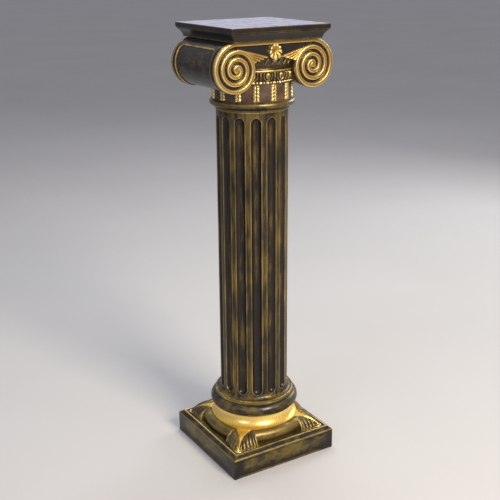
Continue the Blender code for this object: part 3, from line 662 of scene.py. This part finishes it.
# The half-round torus, and the thin ring on it that carries the shaft.
def torusShells():
    foot, shoulder, top = (levels[key] for key in ("torusFoot", "torusTop", "baseTop"))
    inner = torus["radius"] - torus["bead"]
    bead = arcPoints(inner, (foot + shoulder) / 2, torus["bead"], torus["bead"], -86, 80, 44)
    ring = torus["ringRadius"]
    corners = [(inner - 2, foot), *bead, (ring + 0.4, shoulder - 0.1), (ring, shoulder + 0.5),
               (ring, top - 1.0), (ring - 0.3, top - 0.3), (ring - 1.0, top)]
    profile = denseProfile(corners, 1.5)
    # The small rise of gold on the upper shoulder, near 143 mm, is a painted highlight.
    tone = np.interp(profile[:, 1], [116, 124, 134, 143, 146, 148, 150, 152],
                     [-0.9, -0.85, -0.75, -0.42, -0.5, -0.3, 0.3, 0.0])
    return [tubeShell(turnedGrid(profile, 160), tone[:, None])]


makePiece("basePlinth", plinthShells(), "base", basePatina, 4, 0.5)
makePiece("baseRolls", rollShells(), "base", basePatina)
makePiece("baseLeaves", leafShells(), "base", basePatina, 10, 0.5)
makePiece("baseSpurs", spurShells(), "base", brightGold)
makePiece("baseCurls", curlShells(), "base", basePatina)
makePiece("baseHollow", hollowShells(), "base", brightGold)
makePiece("baseTorus", torusShells(), "base", basePatina)
print("base done")


# Shaft

shaft = {
    "radius": 83.5, "footRadius": 97.0, "footHeight": 3.5, "flare": 13.0,
    "flutes": 14, "fluteRadius": 12.5, "fluteOffset": 3.0, "fluteFoot": 14.2, "fluteHead": 13.2,
    "edgeSoftness": 0.35, "insideSteps": 22, "landSteps": 12, "rimWidth": 1.6,
}


# The shaft's outline: a foot with a quarter-round flare, then straight up, with rows set close by
# both ends of the flutes. It also gives the two levels between which a flute has its full width.
def shaftProfile(chord):
    foot, top = levels["shaftFoot"], levels["shaftTop"]
    low = foot + shaft["fluteFoot"] + chord
    high = top - shaft["fluteHead"] - chord
    radius, footRadius, footTop = shaft["radius"], shaft["footRadius"], foot + shaft["footHeight"]
    lip = footRadius - (footRadius - radius) / 8
    flare = arcPoints(lip, footTop + shaft["flare"], lip - radius, shaft["flare"], 270, 180, 16)
    swing = np.cos(np.linspace(0, np.pi / 2, 15))
    lowEnd = low - chord * swing[:-1]
    highEnd = high + chord * swing[::-1][1:]
    straight = np.concatenate([lowEnd, np.linspace(low, high, 60), highEnd,
                               np.linspace(high + chord, top, 10)[1:]])
    profile = np.concatenate([
        [(footRadius - 0.6, foot), (footRadius, foot + 0.6)],
        [(footRadius, footTop - 0.5), (footRadius - 0.6, footTop - 0.1)],
        flare[1:],
        np.column_stack([np.full(len(straight), radius), straight]),
    ])
    return profile[np.argsort(profile[:, 1], kind="stable")], low, high


# A round shaft with round-ended flutes. Each flute is what a ball of the flute's radius cuts when it
# runs up a line just outside the surface. Columns follow the flutes' edges, so the ends are true arcs.
def shaftShells():
    ball = shaft["fluteRadius"]
    reach = shaft["radius"] + shaft["fluteOffset"]
    chord = math.sqrt(ball ** 2 - shaft["fluteOffset"] ** 2)
    profile, low, high = shaftProfile(chord)
    bodyRadius, height = profile[:, :1], profile[:, 1:2]
    past = np.clip(low - height, 0, None) + np.clip(height - high, 0, None)
    cut = np.sqrt(np.clip(ball ** 2 - past ** 2, 0, None))
    cosine = (shaft["radius"] ** 2 + reach ** 2 - cut ** 2) / (2 * shaft["radius"] * reach)
    pitch = 2 * np.pi / shaft["flutes"]
    edge = np.arccos(np.clip(cosine, -1, 1))
    relaxed = edge.max() * smoothStep(0, 10, past - chord)
    edge = np.maximum(np.where(past < chord, edge, relaxed), 0.004)
    inside = np.sin(np.linspace(-0.5, 0.5, shaft["insideSteps"] + 1) * np.pi)
    land = np.linspace(0, 1, shaft["landSteps"] + 1)[1:-1]
    offset = np.concatenate([edge * inside, edge + (pitch - 2 * edge) * land], 1)
    distance = np.abs(offset)
    hit = cut ** 2 - (reach * np.sin(distance)) ** 2
    surface = reach * np.cos(distance) - np.sqrt(np.clip(hit, 0, None))
    depth = np.where((hit > 0) & (past < chord), np.clip(bodyRadius - surface, 0, None), 0)
    depth = depth ** 2 / (depth + shaft["edgeSoftness"])
    angle = np.concatenate([offset + pitch * k for k in range(shaft["flutes"])], 1) - np.pi / 2
    radius = np.tile(bodyRadius - depth, (1, shaft["flutes"]))
    grid = np.stack([radius * np.cos(angle), radius * np.sin(angle), height + 0 * angle], -1)
    fromEdge = np.minimum(distance - edge, pitch - edge - distance)
    fromEdge = np.clip(fromEdge, 0, None) * shaft["radius"]
    tone = shaftRubAndPaintedSheen(depth, fromEdge, past - chord)
    # A painted highlight: more gold in a band about 5 mm above the foot, where the flare catches the
    # light.
    tone = tone + 0.3 * smoothStep(6, 0, np.abs(height - levels["shaftFoot"] - 5))
    return [tubeShell(grid, np.tile(tone, (1, shaft["flutes"])))]


# How much gold is rubbed on: some on the lands and most along the flutes' edges. The gold in the deepest
# part of each flute's bed is a painted sheen: light reflected along the flute.
def shaftRubAndPaintedSheen(depth, fromEdge, pastEnd):
    onLand = smoothStep(1.2, 0.0, depth)
    rim = np.exp(-(fromEdge / shaft["rimWidth"]) ** 2)
    rim = rim * smoothStep(2.5, 0.3, depth) * smoothStep(4, 0, pastEnd)
    # The last term is the painted sheen in the deepest part of the flute's bed.
    return 0.42 * onLand - 0.2 + 0.65 * rim + 0.42 * smoothStep(4, 9, depth)


makePiece("flutedShaft", shaftShells(), "shaft", shaftPatina, 2, 0.5)
print("shaft done")


# Capital: turned mouldings and the neck

neck = {
    "collarRadius": 85.6, "collarHeight": 5.5, "beadRadius": 98.0, "bead": 7.8, "beadGap": 1.7,
    "radius": 92.0, "panelSink": 0.6,
}


# Turned mouldings under the neck: a low collar and a full bead.
def lowerMouldingShells():
    foot = levels["capitalFoot"]
    collarTop = foot + neck["collarHeight"]
    middle = collarTop + neck["beadGap"] + neck["bead"]
    bead = arcPoints(neck["beadRadius"] - neck["bead"], middle, neck["bead"], neck["bead"], -88, 88, 32)
    collar = neck["collarRadius"]
    corners = [(collar - 0.5, foot), (collar, foot + 0.5), (collar, collarTop), *bead,
               (neck["radius"] - 3, levels["neckFoot"])]
    profile = denseProfile(corners, 1.2)
    tone = np.interp(profile[:, 1], [foot, collarTop, collarTop + 2, middle - 3, middle + 4, middle + 8],
                     [-0.1, -0.2, -0.5, -0.3, 0.0, -0.2])
    return [tubeShell(turnedGrid(profile, 160), tone[:, None])]


# The plain band behind the strips: turned, and sunk between two low edges.
def neckPanelShells():
    foot, top, outer = levels["neckFoot"], levels["neckTop"], neck["radius"]
    sunk = outer - neck["panelSink"]
    corners = [(outer + 1.0, foot - 1), (outer + 1.0, foot + 1.2), (sunk, foot + 1.8),
               (sunk, top - 1.6), (outer + 0.8, top - 1.0), (outer + 0.8, top + 1)]
    return [tubeShell(turnedGrid(denseProfile(corners, 1.2), 180))]


strips = {
    "count": 14, "width": 14.6, "gap": 2.0, "height": 36.0, "rise": 3.0, "sink": 0.9,
    "scallops": 4.5, "scallopDepth": 1.6, "slant": 0.22,
}


# An upright feather: two columns of round lobes beside a thin stem, with a scalloped outline. Every
# point is laid round the neck: the angle is the distance across divided by the neck's radius.
def stripShells():
    share = np.linspace(0, 1, 73)[:, None]
    across = np.linspace(-1, 1, 29)[None, :]
    wave = lobeWave(strips["scallops"] * share + strips["slant"] * np.abs(across), 0.6)
    edgeWave = lobeWave(strips["scallops"] * share + strips["slant"], 0.6)
    half = strips["width"] / 2 - strips["scallopDepth"] * (1 - edgeWave)
    half = half * (0.35 + 0.65 * np.sqrt(np.clip((1 - share) / 0.1, 0, 1)))
    column = np.clip(1 - np.abs((np.abs(across) - 0.52) / 0.48) ** 2.4, 0, 1) ** 0.5
    rise = strips["rise"] * np.maximum(column * (0.62 + 0.38 * wave), 0.55 * np.exp(-(across / 0.1) ** 2))
    radius = neck["radius"] - strips["sink"] + rise
    angle = across * half / neck["radius"] - np.pi / 2
    height = levels["neckFoot"] + strips["gap"] + strips["height"] * share
    grid = np.stack([radius * np.cos(angle), radius * np.sin(angle), height + 0 * across], -1)

    def back(hem):
        inner = (neck["radius"] - 3) / np.hypot(hem[:, :1], hem[:, 1:2])
        return np.column_stack([hem[:, :2] * inner, hem[:, 2]])

    return turnedShells(reliefShell(grid, back), np.arange(strips["count"]) * 360 / strips["count"])


beadRow = {"pairs": 36, "radius": 93.2, "longHalf": 4.4, "long": 2.7, "small": 2.1}


# Long and small round beads in turn: ellipsoids whose centres go round the neck's upper edge.
def beadRowShells():
    turn = np.linspace(0, 2 * np.pi, 16, endpoint=False)[None, :]
    lift = np.linspace(-0.48, 0.48, 9)[:, None] * np.pi
    height = (levels["neckTop"] + levels["eggFoot"]) / 2
    shells = []
    small = beadRow["small"]
    for half, size, shift in ((beadRow["longHalf"], beadRow["long"], 0.0), (small, small, 0.5)):
        grid = np.stack([half * np.sin(lift) + 0 * turn,
                         -beadRow["radius"] + size * np.cos(lift) * np.cos(turn),
                         height + size * np.cos(lift) * np.sin(turn)], -1)
        steps = (np.arange(beadRow["pairs"]) + shift) * 360 / beadRow["pairs"]
        shells += turnedShells(tubeShell(grid), steps)
    return shells


bowl = {
    "beadRowRadius": 91.0, "hollowRadius": 90.5, "eggRadius": 95.2, "crestRadius": 96.6, "crest": 2.7,
    "coveRadius": 93.5, "leafRadius": 98.5,
    "eggs": 18, "eggMiddle": 0.66, "eggWidth": 5.4, "eggAbove": 6.5, "eggBelow": 10.0, "eggRise": 4.2,
    "shellWidth": 9.6, "shellAbove": 14.0, "shellBelow": 11.6, "shellRise": 2.2, "dartRise": 3.0,
    "leaves": 36, "leafRise": 1.8,
}


# Eggs, their shells and the darts between them, as a rise over the turned surface. An egg is a half
# ellipsoid, longer below; its shell is a rounded ridge on a larger ellipse; a dart is a tapering wedge.
def eggRelief(angle, height):
    pitch = 360 / bowl["eggs"]
    facing = np.degrees(angle) + 90
    x = ((facing + pitch) % pitch - pitch / 2) * np.pi / 180 * bowl["eggRadius"]
    tall = levels["eggTop"] - levels["eggFoot"]
    y = height - (levels["eggFoot"] + bowl["eggMiddle"] * tall)
    eggHalf = np.where(y < 0, bowl["eggBelow"], bowl["eggAbove"])
    shellHalf = np.where(y < 0, bowl["shellBelow"], bowl["shellAbove"])
    egg = (x / bowl["eggWidth"]) ** 2 + (y / eggHalf) ** 2
    shell = np.sqrt((x / bowl["shellWidth"]) ** 2 + (y / shellHalf) ** 2)
    rise = bowl["eggRise"] * np.sqrt(np.clip(1 - egg, 0, 1))
    rise = np.maximum(rise, bowl["shellRise"] * np.exp(-((shell - 1) / 0.11) ** 2))
    edge = pitch / 2 * np.pi / 180 * bowl["eggRadius"] - np.abs(x)
    wide = 1.0 + 2.6 * np.clip((height - levels["eggFoot"]) / tall, 0, 1)
    dart = bowl["dartRise"] * np.clip(1 - edge / wide, 0, 1) ** 0.8
    inRow = smoothStep(0, 1.2, height - levels["eggFoot"]) * smoothStep(0, 0.8, levels["eggTop"] - height)
    return np.maximum(rise, dart) * inRow


# Upright pointed leaves round the top: each narrows upwards, with raised edges and a middle rib.
def leafRowRelief(angle, height):
    pitch = 360 / bowl["leaves"]
    across = np.abs((np.degrees(angle) + 90 + pitch / 2) % pitch / pitch - 0.5) * 2
    share = np.clip((height - levels["coveTop"]) / (levels["leafTop"] - levels["coveTop"]), 0, 1)
    edge = 1.02 - share ** 1.2
    rim = np.exp(-((across - edge + 0.1) / 0.12) ** 2) * (across < edge + 0.2)
    rib = 0.7 * np.exp(-(across / 0.14) ** 2) * (across < edge)
    body = 0.35 * (across < edge)
    inRow = smoothStep(0, 1.0, height - levels["coveTop"] + 0.5)
    return bowl["leafRise"] * np.maximum(np.maximum(rim, rib), body) * inRow


# The turned bowl from the bead row up to the volutes, with both reliefs added to its radius.
def bowlShells():
    foot, eggTop, crestTop, coveTop, leafTop = (levels[key] for key in
                                                ("eggFoot", "eggTop", "crestTop", "coveTop", "leafTop"))
    row, inner, cove, leaf = (bowl[key] for key in
                              ("beadRowRadius", "hollowRadius", "coveRadius", "leafRadius"))
    eggs = arcPoints(inner, eggTop, bowl["eggRadius"] - inner, eggTop - foot, 270, 360, 20)
    crestMiddle, bead = (eggTop + crestTop) / 2, bowl["crest"]
    crest = arcPoints(bowl["crestRadius"] - bead, crestMiddle, bead, bead, -80, 80, 12)
    corners = [(row, levels["neckTop"] - 0.5), (row, foot), *eggs, *crest,
               (cove, crestTop + 0.4), (cove - 0.6, crestTop + 2.5), (cove + 0.8, crestTop + 3.4),
               (cove + 0.8, coveTop - 1.5), (cove - 0.4, coveTop - 0.8), (cove, coveTop),
               (leaf - 1.6, leafTop), (leaf - 6, leafTop + 3)]
    grid = turnedGrid(denseProfile(corners, 0.78), 864)
    angle = np.arctan2(grid[..., 1], grid[..., 0])
    rise = eggRelief(angle, grid[..., 2]) + leafRowRelief(angle, grid[..., 2])
    radius = np.hypot(grid[..., 0], grid[..., 1])
    grid[..., :2] *= ((radius + rise) / radius)[..., None]
    # The gold on the crest bead is partly rubbed wear and partly a painted highlight.
    crestRubAndHighlight = 0.9 * smoothStep(4.0, 0.5, np.abs(grid[..., 2] - crestMiddle))
    return [tubeShell(grid, np.clip(rise / 2.4, 0, 1) * 0.85 + crestRubAndHighlight - 0.05)]


makePiece("lowerMouldings", lowerMouldingShells(), "capital", capitalPatina)
makePiece("neckPanels", neckPanelShells(), "capital", neckPlaster)
makePiece("neckStrips", stripShells(), "capital", antiqueGold, 4, 0.3)
makePiece("beadRow", beadRowShells(), "capital", antiqueGold, 2, 0.3)
makePiece("capitalBowl", bowlShells(), "capital", capitalPatina, 4, 0.25)
print("turned capital done")


# Capital: volutes and what lies between them

volute = {
    "spread": 98.5, "radius": 59.0, "pitch": 15.6, "bandWidth": 9.1, "bandRise": 4.3, "bandEdge": 2.6,
    "face": 97.2, "floor": 94.6, "sink": 1.2, "setback": 0.8, "turns": 3.38, "eyeRadius": 6.4,
}


# The spiral's outer edge: its distance from the eye falls by one pitch for each whole turn.
def spiralRadius(turns):
    return volute["radius"] - volute["pitch"] * turns


# A point (x, z) of the left volute at an inset from the outer edge, from the top round by the side.
def volutePlace(turns, inset):
    radius = spiralRadius(turns) - inset
    angle = 2 * np.pi * turns
    return -volute["spread"] - radius * np.sin(angle), levels["eye"] + radius * np.cos(angle)


# The band's section: a flat-topped arch, whose height depends on the distance from the band's edge.
def bandArch(edge):
    share = np.clip(edge / volute["bandEdge"], 0, 1)
    return volute["bandRise"] * np.clip(1 - (1 - share) ** 2.4, 0, 1) ** 0.55


# The gold band: from the left eye, out round the volute, straight across, and into the right eye.
def bandShells():
    turns = np.concatenate([np.linspace(0, 1, 97)[:-1], np.linspace(1, volute["turns"], 200)])[::-1, None]
    across = np.linspace(0, 1, 21)[None, :]
    outer = volute["setback"]
    width = np.minimum(volute["bandWidth"], spiralRadius(turns) - outer - 0.5)
    x, z = volutePlace(turns, outer + width * across)
    left = np.stack([x, -volute["face"] - bandArch(np.minimum(across, 1 - across) * width), z], -1)
    behind = np.full((len(turns), 2), volute["sink"] - volute["floor"])
    foot = np.stack([x[:, [-1, 0]], behind, z[:, [-1, 0]]], -1)
    left = np.concatenate([left, foot], 1)
    right = (left * (-1, 1, 1))[::-1]
    share = np.linspace(0, 1, 60)[1:-1, None, None]
    grid = np.concatenate([left, left[-1] + (right[0] - left[-1]) * share, right])
    return mirroredShells(tubeShell(grid), frontAndBack)


# The eye: a round disc with the band's own section at its edge, which the innermost turn runs into.
def eyeShells():
    turn = np.linspace(0, 2 * np.pi, 72, endpoint=False)[None, :]
    ring = np.concatenate([[volute["eyeRadius"]], np.linspace(volute["eyeRadius"], 0.1, 20)])[:, None]
    depth = volute["face"] + bandArch(volute["eyeRadius"] - ring)
    depth[0] = volute["floor"] - volute["sink"]
    grid = np.stack([ring * np.sin(turn) - volute["spread"], 0 * turn - depth,
                     levels["eye"] - ring * np.cos(turn)], -1)
    return mirroredShells(tubeShell(grid), fourQuarters)


roller = {
    "rim": 20.0, "ridges": ((0.0, 3.2), (6.0, 3.2), (17.0, 5.4)), "ridge": 2.2, "inset": 0.25,
    "recess": 2.8, "shoulder": 41.0, "corner": 16.0, "capSizes": (0.05, 0.4, 0.8, 0.86, 0.865, 0.985),
}


# Distance past the border of the sunk panel, a rectangle with rounded corners laid on the roll: the
# length along the spiral is the integral of its radius, so it grows by radius less half a pitch.
def pastPanel(y, turns):
    inner = volute["face"] - roller["rim"]
    length = 2 * np.pi * (volute["radius"] * turns - volute["pitch"] * turns ** 2 / 2)
    outY = np.abs(y) - (inner + 0.5 - roller["corner"])
    outLength = roller["shoulder"] + roller["corner"] - length
    beyond = np.hypot(np.maximum(outY, 0), np.maximum(outLength, 0))
    return beyond + np.minimum(np.maximum(outY, outLength), 0) - roller["corner"]


# Rings that close one end of a roll, shrunk towards its middle; the inner ones lie on the volute's floor.
def rollerCap(ring, side):
    centre = np.array((-volute["spread"], ring[0, 1], levels["eye"]))
    rings = [centre + (ring - centre) * size for size in roller["capSizes"]]
    for sunk in rings[:4]:
        sunk[:, 1] = side * volute["floor"]
    return rings


# The rolls between the faces: the spiral's first turn carried along Y. The inset is the grooves
# between three round ridges at each rim, and the sunk panel between the rims.
def rollerShells():
    turns = np.linspace(0, 1, 180)[None, :]
    inner = volute["face"] - roller["rim"]
    fine = np.linspace(inner - 1.5, volute["face"] - 0.2, 48)
    y = np.concatenate([-fine[::-1], np.linspace(-inner + 3, inner - 3, 40), fine])[:, None]
    fromRim = volute["face"] - np.abs(y)
    groove = roller["ridge"] + 0 * y
    for middle, half in roller["ridges"]:
        bead = 1 - np.sqrt(np.clip(1 - ((fromRim - middle) / half) ** 2, 0, 1))
        groove = np.minimum(groove, roller["ridge"] * bead)
    groove = np.where(fromRim > middle, 0, groove)
    outside = pastPanel(y, turns)
    panel = roller["recess"] * smoothStep(0.9, -0.9, outside)
    ends = smoothStep(volute["face"] + 1, volute["face"] - 0.5, np.abs(y))
    inset = groove * ends * smoothStep(0.02, 0.05, turns) + panel + roller["inset"]
    x, z = volutePlace(turns, inset)
    grid = np.stack([x, y + 0 * x, z], -1)
    nearPanel = np.exp(-((outside - 0.8) / 1.6) ** 2)
    onRidge = smoothStep(0.8, 0.1, groove) * (fromRim < roller["rim"])
    tone = 0.5 * onRidge + 1.3 * nearPanel + 0.15 * (panel > 1.2) - 0.1
    grid = np.concatenate([rollerCap(grid[0], -1), grid, rollerCap(grid[-1], 1)[::-1]])
    dark = np.full((len(roller["capSizes"]), tone.shape[1]), -0.8)
    return mirroredShells(tubeShell(grid, np.concatenate([dark, tone, dark])), bothSides)


face = {"recess": 2.5, "foot": 975.0, "half": 99.5, "beamRise": 2.5}


# The dark ground between the volutes, level with their floors, and the plain beam above it.
def groundShells():
    front = volute["face"] - face["recess"]
    beam = front + face["beamRise"]
    top = levels["bandTop"] - volute["bandWidth"] + 1
    over = levels["bandTop"] + 1
    corners = np.array([(-front, face["foot"]), (-front, top), (-beam, top), (-beam, over),
                        (beam, over), (beam, top), (front, top), (front, face["foot"])])
    profile = denseProfile(np.concatenate([corners, corners[:1]]), 2.5)[:-1]
    x = np.linspace(-face["half"], face["half"], 80)[:, None]
    grid = np.stack(np.broadcast_arrays(x, profile[:, 0], profile[:, 1]), -1)
    return [tubeShell(grid, -0.6)]


wing = {
    "upperRoot": (-100.0, 43.4), "lowerRoot": (-66.0, 27.0),
    "upperTip": (-13.0, 22.0), "lowerTip": (-54.0, 10.5),
    "lobes": 4, "rootRise": 6.0, "tipRise": 5.2, "crease": 2.6, "notch": 0.13, "edge": 1.2, "bow": 1.0,
}


# A half-palmette: a smooth sheet leaves the volute's outline and parts into lobes that fan towards
# the rosette. Each lobe is a rounded ridge with a rounded tip, and the uppermost edge is thicker.
def wingShells():
    along = np.linspace(0, 1, 70)[:, None]
    across = np.linspace(0, 1, 91)[None, :]
    wave = lobeWave(wing["lobes"] * across, 0.65)
    reach = along * (1 - wing["notch"] * (1 - wave) * smoothStep(0.6, 1.0, along))
    rootX, rootZ = (a + (b - a) * across for a, b in zip(wing["upperRoot"], wing["lowerRoot"]))
    tipX, tipZ = (a + (b - a) * across for a, b in zip(wing["upperTip"], wing["lowerTip"]))
    bow = wing["bow"] * np.sin(np.pi * reach) * (1 - across)
    x = rootX + (tipX - rootX) * reach
    z = levels["eye"] + rootZ + (tipZ - rootZ) * reach + bow
    body = wing["rootRise"] + (wing["tipRise"] - wing["rootRise"]) * along
    body = body + wing["edge"] * np.exp(-(across / 0.1) ** 2) - 0.8 * np.sin(np.pi * along)
    tip = 1 - 0.7 * smoothStep(0.92, 1.0, along) ** 2
    relief = (body - wing["crease"] * (1 - wave) * smoothStep(0.25, 0.75, along)) * tip
    ground = volute["face"] - face["recess"]
    shell = reliefShell(np.stack([x, -ground - relief, z], -1), backTo(2 - ground))
    return mirroredShells(shell, fourQuarters)


rosette = {
    "petals": 9, "upper": 14.0, "side": 15.5, "lower": 20.5, "centre": 997.0, "rise": 6.2,
    "boss": 2.2, "bossRise": 4.2, "creaseShare": 0.2,
    "tailTop": 988.0, "tailFoot": 970.5, "tailWidth": 7.5, "tailRise": 5.4,
}


# Petals round a boss: the outline and the height both follow rounded lobes in the angle, and each
# petal is highest a little inside its tip.
def flowerShell(ground):
    turn = np.linspace(0, 2 * np.pi, 180, endpoint=False)[None, :]
    ring = np.concatenate([[1.0], np.linspace(1, 0.04, 30)])[:, None]
    wave = lobeWave(turn / (2 * np.pi) * rosette["petals"] + 0.5, 0.5)
    up = 1 - (0.5 - 0.5 * np.cos(turn))
    size = np.interp(up, [0, 0.5, 1], [rosette["upper"], rosette["side"], rosette["lower"]])
    outline = size * (1 - rosette["creaseShare"] + rosette["creaseShare"] * wave)
    swell = np.sin(np.pi * np.clip(1.02 - ring, 0, 1) ** 0.42) ** 0.6
    relief = rosette["rise"] * swell * (0.42 + 0.58 * wave)
    boss = np.sqrt(np.clip(1 - (ring * outline / rosette["boss"]) ** 2, 0, 1))
    relief = np.maximum(relief, rosette["bossRise"] * boss)
    relief[0] = -3
    x = ring * outline * np.sin(turn)
    z = rosette["centre"] - ring * outline * np.cos(turn)
    return tubeShell(np.stack([x, -ground - 1.0 - relief, z], -1))


# The pointed tail behind the flower: a diamond, highest along its middle and flatter towards its foot.
def tailShell(ground):
    share = np.linspace(0, 1, 40)[:, None]
    across = np.linspace(-1, 1, 25)[None, :]
    half = rosette["tailWidth"] * np.sin(np.pi * (0.25 + 0.74 * share)) ** 0.9
    height = rosette["tailTop"] + (rosette["tailFoot"] - rosette["tailTop"]) * share
    rise = rosette["tailRise"] * (1 - 0.7 * np.abs(across)) * (1 - 0.6 * share)
    grid = np.stack([across * half, -ground - rise, height + 0 * across], -1)
    return reliefShell(grid, backTo(2 - ground))


# A flower and its tail on the front face, and the same on the back.
def rosetteShells():
    ground = volute["face"] - face["recess"]
    return [*mirroredShells(flowerShell(ground), frontAndBack),
            *mirroredShells(tailShell(ground), frontAndBack)]


makePiece("voluteBands", bandShells(), "capital", antiqueGold, 4, 0.4)
makePiece("voluteEyes", eyeShells(), "capital", antiqueGold, 4, 0.4)
makePiece("voluteRolls", rollerShells(), "capital", capitalPatina, 3, 0.3)
makePiece("faceGround", groundShells(), "capital", capitalPatina)
makePiece("halfPalmettes", wingShells(), "capital", antiqueGold, 5, 0.35)
makePiece("rosettes", rosetteShells(), "capital", antiqueGold, 4, 0.35)
print("volutes done")


# Capital: top plate

topPlate = {
    "half": 126.3, "stepHalf": 124.1, "neckHalf": 113.5, "stepFoot": 1036.7, "fasciaFoot": 1038.7,
    "hollow": 2.2, "cornerRadius": 1.4,
}


# Square rings: a hollow under the plate, whose depth is four times the share of the way up times the
# share that is left, then a small step and an upright edge.
def plateEdgeShells():
    share = np.linspace(0, 1, 14)
    half, stepHalf, neckHalf = (topPlate[key] for key in ("half", "stepHalf", "neckHalf"))
    stepFoot, fasciaFoot = topPlate["stepFoot"], topPlate["fasciaFoot"]
    foot, top = levels["bandTop"] - 0.4, levels["top"]
    sag = 4 * topPlate["hollow"] * share * (1 - share)
    cove = np.column_stack([neckHalf + (stepHalf - neckHalf) * share - sag,
                            foot + (stepFoot - foot) * share])
    corners = [(neckHalf, foot - 1), *cove, (stepHalf, fasciaFoot - 0.3), (half - 0.5, fasciaFoot),
               (half, fasciaFoot + 0.5), (half, top - 1.0), (half - 0.3, top - 0.4),
               (half - 1.0, top - 0.3)]
    profile = denseProfile(corners, 1.6)
    tone = np.interp(profile[:, 1], [1019, 1030, 1036, 1038, 1040, 1044, 1048.5, 1049.5, 1050],
                     [-0.4, -0.3, 0.1, -0.3, 0.0, -0.3, -0.3, -0.1, -0.4])
    return [tubeShell(squareGrid(profile[:, 0], topPlate["cornerRadius"], profile[:, 1]), tone[:, None])]


# The polished surface that the plant stands on: a low square tablet let into the edge's top.
def plateTopShells():
    half, top = topPlate["half"], levels["top"]
    corners = [(half - 0.9, top - 1.6), (half - 0.6, top - 0.3), (half - 1.1, top), (half - 4, top)]
    profile = denseProfile(corners, 1.0)
    return [tubeShell(squareGrid(profile[:, 0], topPlate["cornerRadius"], profile[:, 1]), -0.3)]


makePiece("plateEdge", plateEdgeShells(), "capital", capitalPatina, 3, 0.5)
makePiece("plateTop", plateTopShells(), "capital", topLacquer, 3, 0.5)
print("top plate done")


# Floor, light and camera

floorLook = {"half": 60.0, "cloud": 900, "dark": "#b3b2b1", "pale": "#bfbfbf", "rough": 0.85}
worldLook = {"colour": "#d4d5de", "strength": 0.6}
# Place and size in metres, power in watts.
lights = {
    "keyLight": {"place": (0.2, -2.8, 2.3), "size": 1.2, "power": 150, "colour": "#fff1dc"},
    "fillLight": {"place": (-2.4, -1.2, 1.6), "size": 1.2, "power": 15, "colour": "#c8d2ff"},
    "topLight": {"place": (0.4, 1.2, 2.8), "size": 1.6, "power": 30, "colour": "#ffffff"},
    "backLight": {"place": (2.2, 3.4, 2.35), "size": 2.4, "power": 7, "colour": "#dcd6ff"},
    "sideLight": {"place": (2.8, 0.9, 1.6), "size": 1.2, "power": 30, "colour": "#ffffff"},
}
lightAim = (0, 0, 0.6)
view = {"place": (-1.0643, -1.7221, 1.1977), "yaw": -31.51, "pitch": 18.63, "roll": -0.46, "lens": 63.58}


# Matt backdrop paper, nearly even, with faint clouds: it gives soft shadows and no reflections.
def paleFloor():
    half = floorLook["half"]
    mesh = bpy.data.meshes.new("paleFloor")
    mesh.from_pydata([(-half, -half, 0), (half, -half, 0), (half, half, 0), (-half, half, 0)], [],
                     [(0, 1, 2, 3)])
    floor = bpy.data.objects.new("paleFloor", mesh)
    bpy.context.scene.collection.objects.link(floor)
    material, tree, shader = newMaterial("matt pale backdrop paper")
    cloud, = paintPatterns(tree, ((floorLook["cloud"], even, 3.0, 0.55),))
    colour = addNode(tree, "ShaderNodeMix", {
        0: cloud, 6: hexColour(floorLook["dark"]), 7: hexColour(floorLook["pale"]),
    }, 2, data_type="RGBA")
    fillInputs(tree, shader, {"Base Color": colour, "Roughness": floorLook["rough"]})
    mesh.materials.append(material)


# A square soft light that faces the stand.
def softLight(name, place, size, power, colour):
    data = bpy.data.lights.new(name, "AREA")
    data.size = size
    data.energy = power
    data.color = hexColour(colour)[:3]
    light = bpy.data.objects.new(name, data)
    bpy.context.scene.collection.objects.link(light)
    away = Vector(place) - Vector(lightAim)
    light.matrix_world = Matrix.Translation(place) @ away.to_track_quat("Z", "Y").to_matrix().to_4x4()


# Even pale light from all round.
def studioWorld(colour, strength):
    world = bpy.data.worlds.new("pale studio")
    world.use_nodes = True
    backdrop = world.node_tree.nodes["Background"]
    fillInputs(world.node_tree, backdrop, {"Color": hexColour(colour), "Strength": strength})
    bpy.context.scene.world = world


# The camera's axes from its yaw, its pitch below the horizon and its small roll, all in degrees.
def photoCamera(place, yaw, pitch, roll, lens):
    yaw, pitch, roll = (math.radians(value) for value in (yaw, pitch, roll))
    back = Vector((math.sin(yaw) * math.cos(pitch), -math.cos(yaw) * math.cos(pitch), math.sin(pitch)))
    right = Vector((math.cos(yaw), math.sin(yaw), 0))
    up = back.cross(right)
    turnedRight = math.cos(roll) * right + math.sin(roll) * up
    turnedUp = -math.sin(roll) * right + math.cos(roll) * up
    data = bpy.data.cameras.new("photoCamera")
    data.lens = lens
    camera = bpy.data.objects.new("photoCamera", data)
    bpy.context.scene.collection.objects.link(camera)
    axes = Matrix((turnedRight, turnedUp, back)).transposed().to_4x4()
    camera.matrix_world = Matrix.Translation(place) @ axes
    bpy.context.scene.camera = camera


paleFloor()
studioWorld(**worldLook)
for name, light in lights.items():
    softLight(name, **light)
bpy.context.scene.view_settings.view_transform = "Standard"
photoCamera(**view)
print("stage done")
